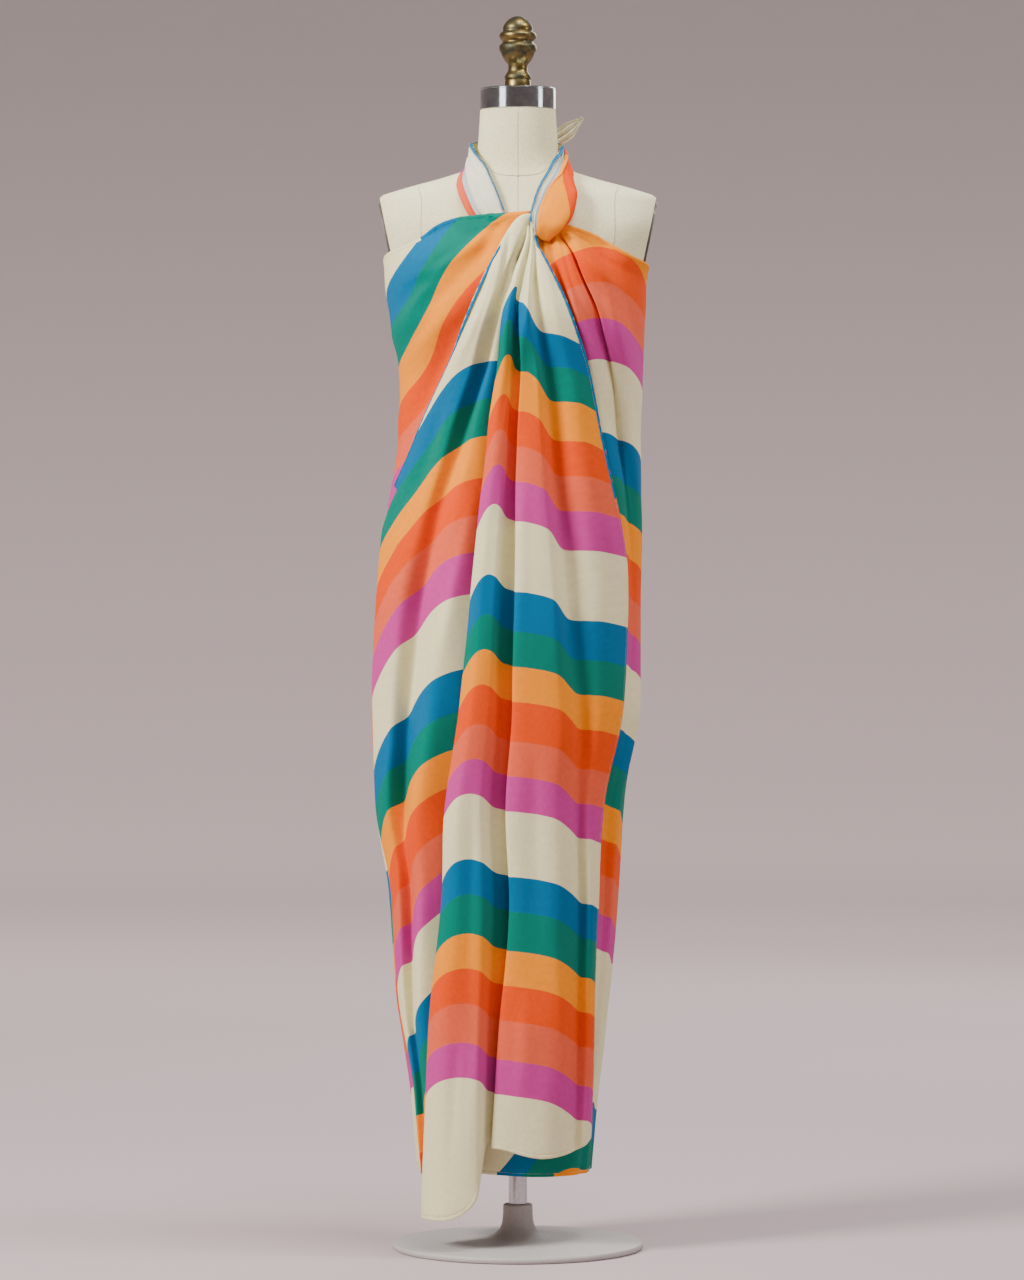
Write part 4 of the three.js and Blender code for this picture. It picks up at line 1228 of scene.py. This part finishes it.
def buildKnot():
    heights, halfWidths, halfDepths = zip(*knotShape["rings"])
    (x, y), (startAcross, startDown) = knotShape["middle"], knotShape["print"]
    columns = knotShape["columns"]
    rows, marks = [], []
    for r in range(knotShape["rows"] + 1):
        z = mix(heights[-1], heights[0], r / knotShape["rows"])
        halfX, halfY = through(heights, halfWidths, z), through(heights, halfDepths, z)
        row, rowMarks = [], []
        for c in range(columns + 1):
            turn = 2 * math.pi * (c % columns) / columns
            swell = 1 + sum(rise * math.cos(waves * turn + (z - heights[0]) * twist)
                            for rise, waves, twist in knotShape["swells"])
            row.append(Vector((x + halfX * swell * math.sin(turn), y - halfY * swell * math.cos(turn), z)))
            rowMarks.append((startAcross + knotShape["printWidth"] * c / columns,
                             startDown + r * knotShape["printPerRow"]))
        rows.append(row)
        marks.append(rowMarks)
    bm = bmesh.new()
    uvLayer = bm.loops.layers.uv.new("cloth")
    closeGrid(bm, layGrid(bm, rows, marks, uvLayer))
    piece = finishPiece("neckKnot", meshFrom(bm, "neckKnot", turnOut=True), [printFace])
    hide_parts("halter_knot")


buildKnot()
print("neck strands built")

hemLook = {
    "width": 5.5,
    "rise": 0.75,
    "step": 4.0,
    "inset": 0.3,
    "puckers": [(0.14, 1.9), (0.1, 0.7)],  # rise, and turn per step
    "roll": (0.0, 0.055),  # the print mark of an edge that is rolled to blue
    "stitchPitch": 3.4,
    "stitchInset": 1.3,
    "stitchSink": 0.12,
    "stitchRadius": 0.24,
    "stitchStretch": 4.8,
    "crossing": 1372,  # the panel's free edge shows up to this height
    "panelRoll": 1010,  # and is rolled to blue above this one
    "leftInner": -26,  # across, where the two top edges and the band's edge end under the panel
    "rightInner": 66,
    "bandInner": -24,
    "bandLow": 112,
    "strandLow": {"strandRight": 1384, "strandRightEdge": 1384, "strandLeft": 1400},
    "strandBack": 40,
}


# Evenly spaced places along an edge, from its points, the points just inside them and their print marks.
def alongEdge(edge, inside, marks, pitch):
    places, left = [], 0.0
    for k in range(len(edge) - 1):
        span = (edge[k + 1] - edge[k]).length
        while span > 0 and left <= span:
            t = left / span
            point = edge[k].lerp(edge[k + 1], t)
            inward = (inside[k].lerp(inside[k + 1], t) - point).normalized()
            along = (edge[k + 1] - edge[k]).normalized()
            mark = tuple(mix(a, b, t) for a, b in zip(marks[k], marks[k + 1]))
            places.append((point, inward, along, inward.cross(along).normalized(), mark))
            left += pitch
        left -= span
    return places


def sewStitches(bm, places):
    look = hemLook
    size = look["stitchRadius"] * 0.001
    for point, inward, along, out, _ in places:
        for face in (1, -1):
            rise = out * (face * (look["rise"] - look["stitchSink"]))
            centre = metres(point + inward * (look["width"] - look["stitchInset"]) + rise)
            for vert in bmesh.ops.create_icosphere(bm, subdivisions=1, radius=1)["verts"]:
                x, y, z = vert.co * size
                vert.co = centre + inward * x + along * (y * look["stitchStretch"]) + out * z


def addHem(name, edges, stitched=True):
    look = hemLook
    hemBm, stitchBm = bmesh.new(), bmesh.new()
    uvLayer = hemBm.loops.layers.uv.new("cloth")
    for edge in edges:
        places = alongEdge(*edge, look["step"])
        path = []
        for k, (point, inward, _, out, _) in enumerate(places):
            pucker = sum(rise * math.sin(k * turn) for rise, turn in look["puckers"])
            path.append(point + inward * (look["width"] / 2 - look["inset"]) + out * pucker)
        layCord(hemBm, path, [place[3] for place in places], look["width"] / 2, look["rise"], sides=10,
                marks=[place[4] for place in places], uvLayer=uvLayer)
        if stitched:
            sewStitches(stitchBm, alongEdge(*edge, look["stitchPitch"]))
    pieces = [finishPiece(name, meshFrom(hemBm, name, turnOut=True), [printFace])]
    if stitched:
        stitches = meshFrom(stitchBm, name + "Stitches", turnOut=True)
        pieces.append(finishPiece(name + "Stitches", stitches, [stitchThread]))
    else:
        stitchBm.free()
    return pieces


# An edge of a grid of rows as its points, the points just inside it and their print marks. keep says which
# points of the edge have the hem, and rolled that the edge is rolled to blue.
def gridEdge(grid, column=None, row=None, inner=0, keep=None, rolled=False):
    rows, marks = grid
    if row is None:
        found = [(line[column], line[inner], mark[column]) for line, mark in zip(rows, marks)]
    else:
        found = list(zip(rows[row], rows[inner], marks[row]))
    found = [item for item in found if keep is None or keep(item[0])]
    edge, inside, printed = zip(*found)
    return list(edge), list(inside), [hemLook["roll"]] * len(found) if rolled else list(printed)


# A strand's edge, as far down and as far back as it has a hem.
def strandEdge(name, **settings):
    low, back = hemLook["strandLow"][name], hemLook["strandBack"]
    return gridEdge(plies[name][1], keep=lambda p: p.z > low and p.y < back, **settings)


rollFrom, crossing = hemLook["panelRoll"], hemLook["crossing"]
panelHem = addHem("frontPanelHem", [
    gridEdge(panelGrid, column=-1, inner=-3, keep=lambda p: rollFrom < p.z < crossing, rolled=True),
    gridEdge(panelGrid, column=-1, inner=-3, keep=lambda p: p.z < rollFrom + 1),
    gridEdge(panelGrid, row=-1, inner=-3),
])
leftGrid, backGrid, rightGrid = wrapGrids
seamLeft, seamRight = leftGrid[0][seamRow][0].z, rightGrid[0][seamRow][-1].z
wrapHem = addHem("wrappedClothHem", [
    gridEdge(leftGrid, row=-1, inner=-3),
    gridEdge(backGrid, row=-1, inner=-3),
    gridEdge(rightGrid, row=-1, inner=-3),
    gridEdge(backGrid, row=0, inner=1),
])
band = wrapSheet["bandColumn"]
wrapTopHem = addHem("wrappedClothTopHem", [
    gridEdge(leftGrid, column=0, inner=2, keep=lambda p: p.x < hemLook["leftInner"] and p.z >= seamLeft),
    gridEdge(leftGrid, column=band, inner=band + 2, rolled=True,
             keep=lambda p: p.x < hemLook["bandInner"] and p.z > hemLook["bandLow"]),
    gridEdge(rightGrid, column=-1, inner=-3, keep=lambda p: p.x > hemLook["rightInner"] and p.z >= seamRight),
], stitched=False)
strandHem = addHem("strandHem", [
    strandEdge("strandRight", column=-1, inner=-3),
    strandEdge("strandRightEdge", column=0, inner=2, rolled=True),
    strandEdge("strandLeft", column=-1, inner=-3, rolled=True),
])
print("hems and stitches sewn")

stageLook = {
    "wallRadius": 12.5,
    "floorRadius": 7.0,
    "wallHeight": 9.0,
    "paper": [  # metres along the paper from under the part, out and then up, and its colour there, with painted shade: darker on the near floor and towards the top of the wall, lightest in the bend
        (0, (0.52, 0.412, 0.426)),
        (1.8, (0.51, 0.404, 0.418)),
        (3.3, (0.56, 0.444, 0.453)),
        (5.5, (0.83, 0.667, 0.66)),
        (8, (0.97, 0.79, 0.775)),
        (11, (0.84, 0.693, 0.676)),
        (12.5, (0.73, 0.606, 0.59)),
        (14.6, (0.57, 0.478, 0.462)),
        (18, (0.53, 0.443, 0.427)),
    ],
    "skyColour": (0.98, 0.97, 1.0),
    "skyStrength": 0.30,
    "roughness": 0.95,
    "specular": 0.1,
    "bendSteps": 32,
    "sides": 96,
}
softboxes = {  # place, aim and size in metres, power in watts, colour
    "keySoftbox": ((-3.5, -2.5, 3.6), (0, 0, 1.0), (1.2, 1.7), 400, (1.0, 0.98, 0.95)),
    "topSoftbox": ((0.7, -0.9, 4.7), (0, 0, 1.3), (1.6, 1.2), 120, (0.99, 0.99, 1.0)),
    "leftWindow": ((-3.2, -2.9, 1.6), (0, 0, 1.5), (1.4, 1.2), 26, (1, 1, 1)),
    "rightWindow": ((4.0, -1.2, 1.7), (0, 0, 1.5), (0.9, 1.3), 22, (1, 1, 1)),
    "rightTop": ((2.6, -0.8, 4.3), (0, 0, 1.3), (1.0, 1.0), 60, (1, 1, 1)),
    "backSoftbox": ((1.5, 3.6, 2.8), (0, 0, 1.0), (2.0, 2.0), 60, (1, 1, 1)),
    "wallWash": ((0, 2.5, 4.5), (0, 9.5, 0.3), (8.0, 1.0), 160, (1, 1, 1)),
}
frontCamera = {
    "place": (-0.008, -7.0, 0.95),
    "aim": (-0.008, 0, 0.827),
    "lens": 145,
    "sensor": 36,
    "farthest": 100,
}


# The backdrop's colour ramp is painted shade: darker on the floor near the part and towards the top of the
# wall, lightest in the bend.
def paperShadeMaterial():
    material, tree, shader = newMaterial("backdropPaperPaintedShade")
    x, y, z = splitVector(tree, tree.nodes.new("ShaderNodeTexCoord").outputs["Object"])
    outwards = addMath(tree, "SQRT", addMath(tree, "ADD", *[addMath(tree, "MULTIPLY", k, k) for k in (x, y)]))
    length = stageLook["paper"][-1][0]
    share = addMath(tree, "DIVIDE", addMath(tree, "ADD", outwards, z), length)
    stops = [(along / length, colour) for along, colour in stageLook["paper"]]
    tree.links.new(rampOf(tree, share, stops), shader.inputs["Base Color"])
    setInputs(shader, {"Roughness": stageLook["roughness"], "Specular IOR Level": stageLook["specular"]})
    return material


def buildStage():
    flat, reach, steps = stageLook["floorRadius"], stageLook["wallRadius"], stageLook["bendSteps"]
    bend = reach - flat
    turns = [math.pi / 2 * k / steps for k in range(1, steps + 1)]
    curve = [(flat + bend * math.sin(turn), 0, bend - bend * math.cos(turn)) for turn in turns]
    line = [(0, 0, 0), (flat, 0, 0)] + curve + [(reach, 0, stageLook["wallHeight"])]
    bm = bmesh.new()
    spinLine(bm, line, stageLook["sides"], dist=1e-5)
    mesh = meshFrom(bm, "paperSweep", turnOut=True)
    mesh.shade_smooth()
    mesh.materials.append(paperShadeMaterial())
    sweep = bpy.data.objects.new("paperSweep", mesh)
    bpy.context.scene.collection.objects.link(sweep)


# Puts a lamp or a camera in the scene, turned towards its aim.
def aimed(name, data, place, aim):
    thing = bpy.data.objects.new(name, data)
    thing.location = place
    thing.rotation_euler = (Vector(aim) - Vector(place)).to_track_quat("-Z", "Y").to_euler()
    bpy.context.scene.collection.objects.link(thing)
    return thing


def addSoftbox(name, place, aim, size, power, colour):
    light = bpy.data.lights.new(name, "AREA")
    light.shape = "RECTANGLE"
    light.size, light.size_y = size
    light.energy = power
    light.color = colour
    aimed(name, light, place, aim)


def addSky():
    world = bpy.data.worlds.new("studioAir")
    world.use_nodes = True
    sky = world.node_tree.nodes["Background"]
    sky.inputs[0].default_value = (*stageLook["skyColour"], 1)
    sky.inputs[1].default_value = stageLook["skyStrength"]
    bpy.context.scene.world = world


def addCamera():
    data = bpy.data.cameras.new("frontCamera")
    data.lens = frontCamera["lens"]
    data.sensor_width = frontCamera["sensor"]
    data.clip_end = frontCamera["farthest"]
    bpy.context.scene.camera = aimed("frontCamera", data, frontCamera["place"], frontCamera["aim"])


buildStage()
addSky()
for name, settings in softboxes.items():
    addSoftbox(name, *settings)
addCamera()
print("stage, lights and camera ready")
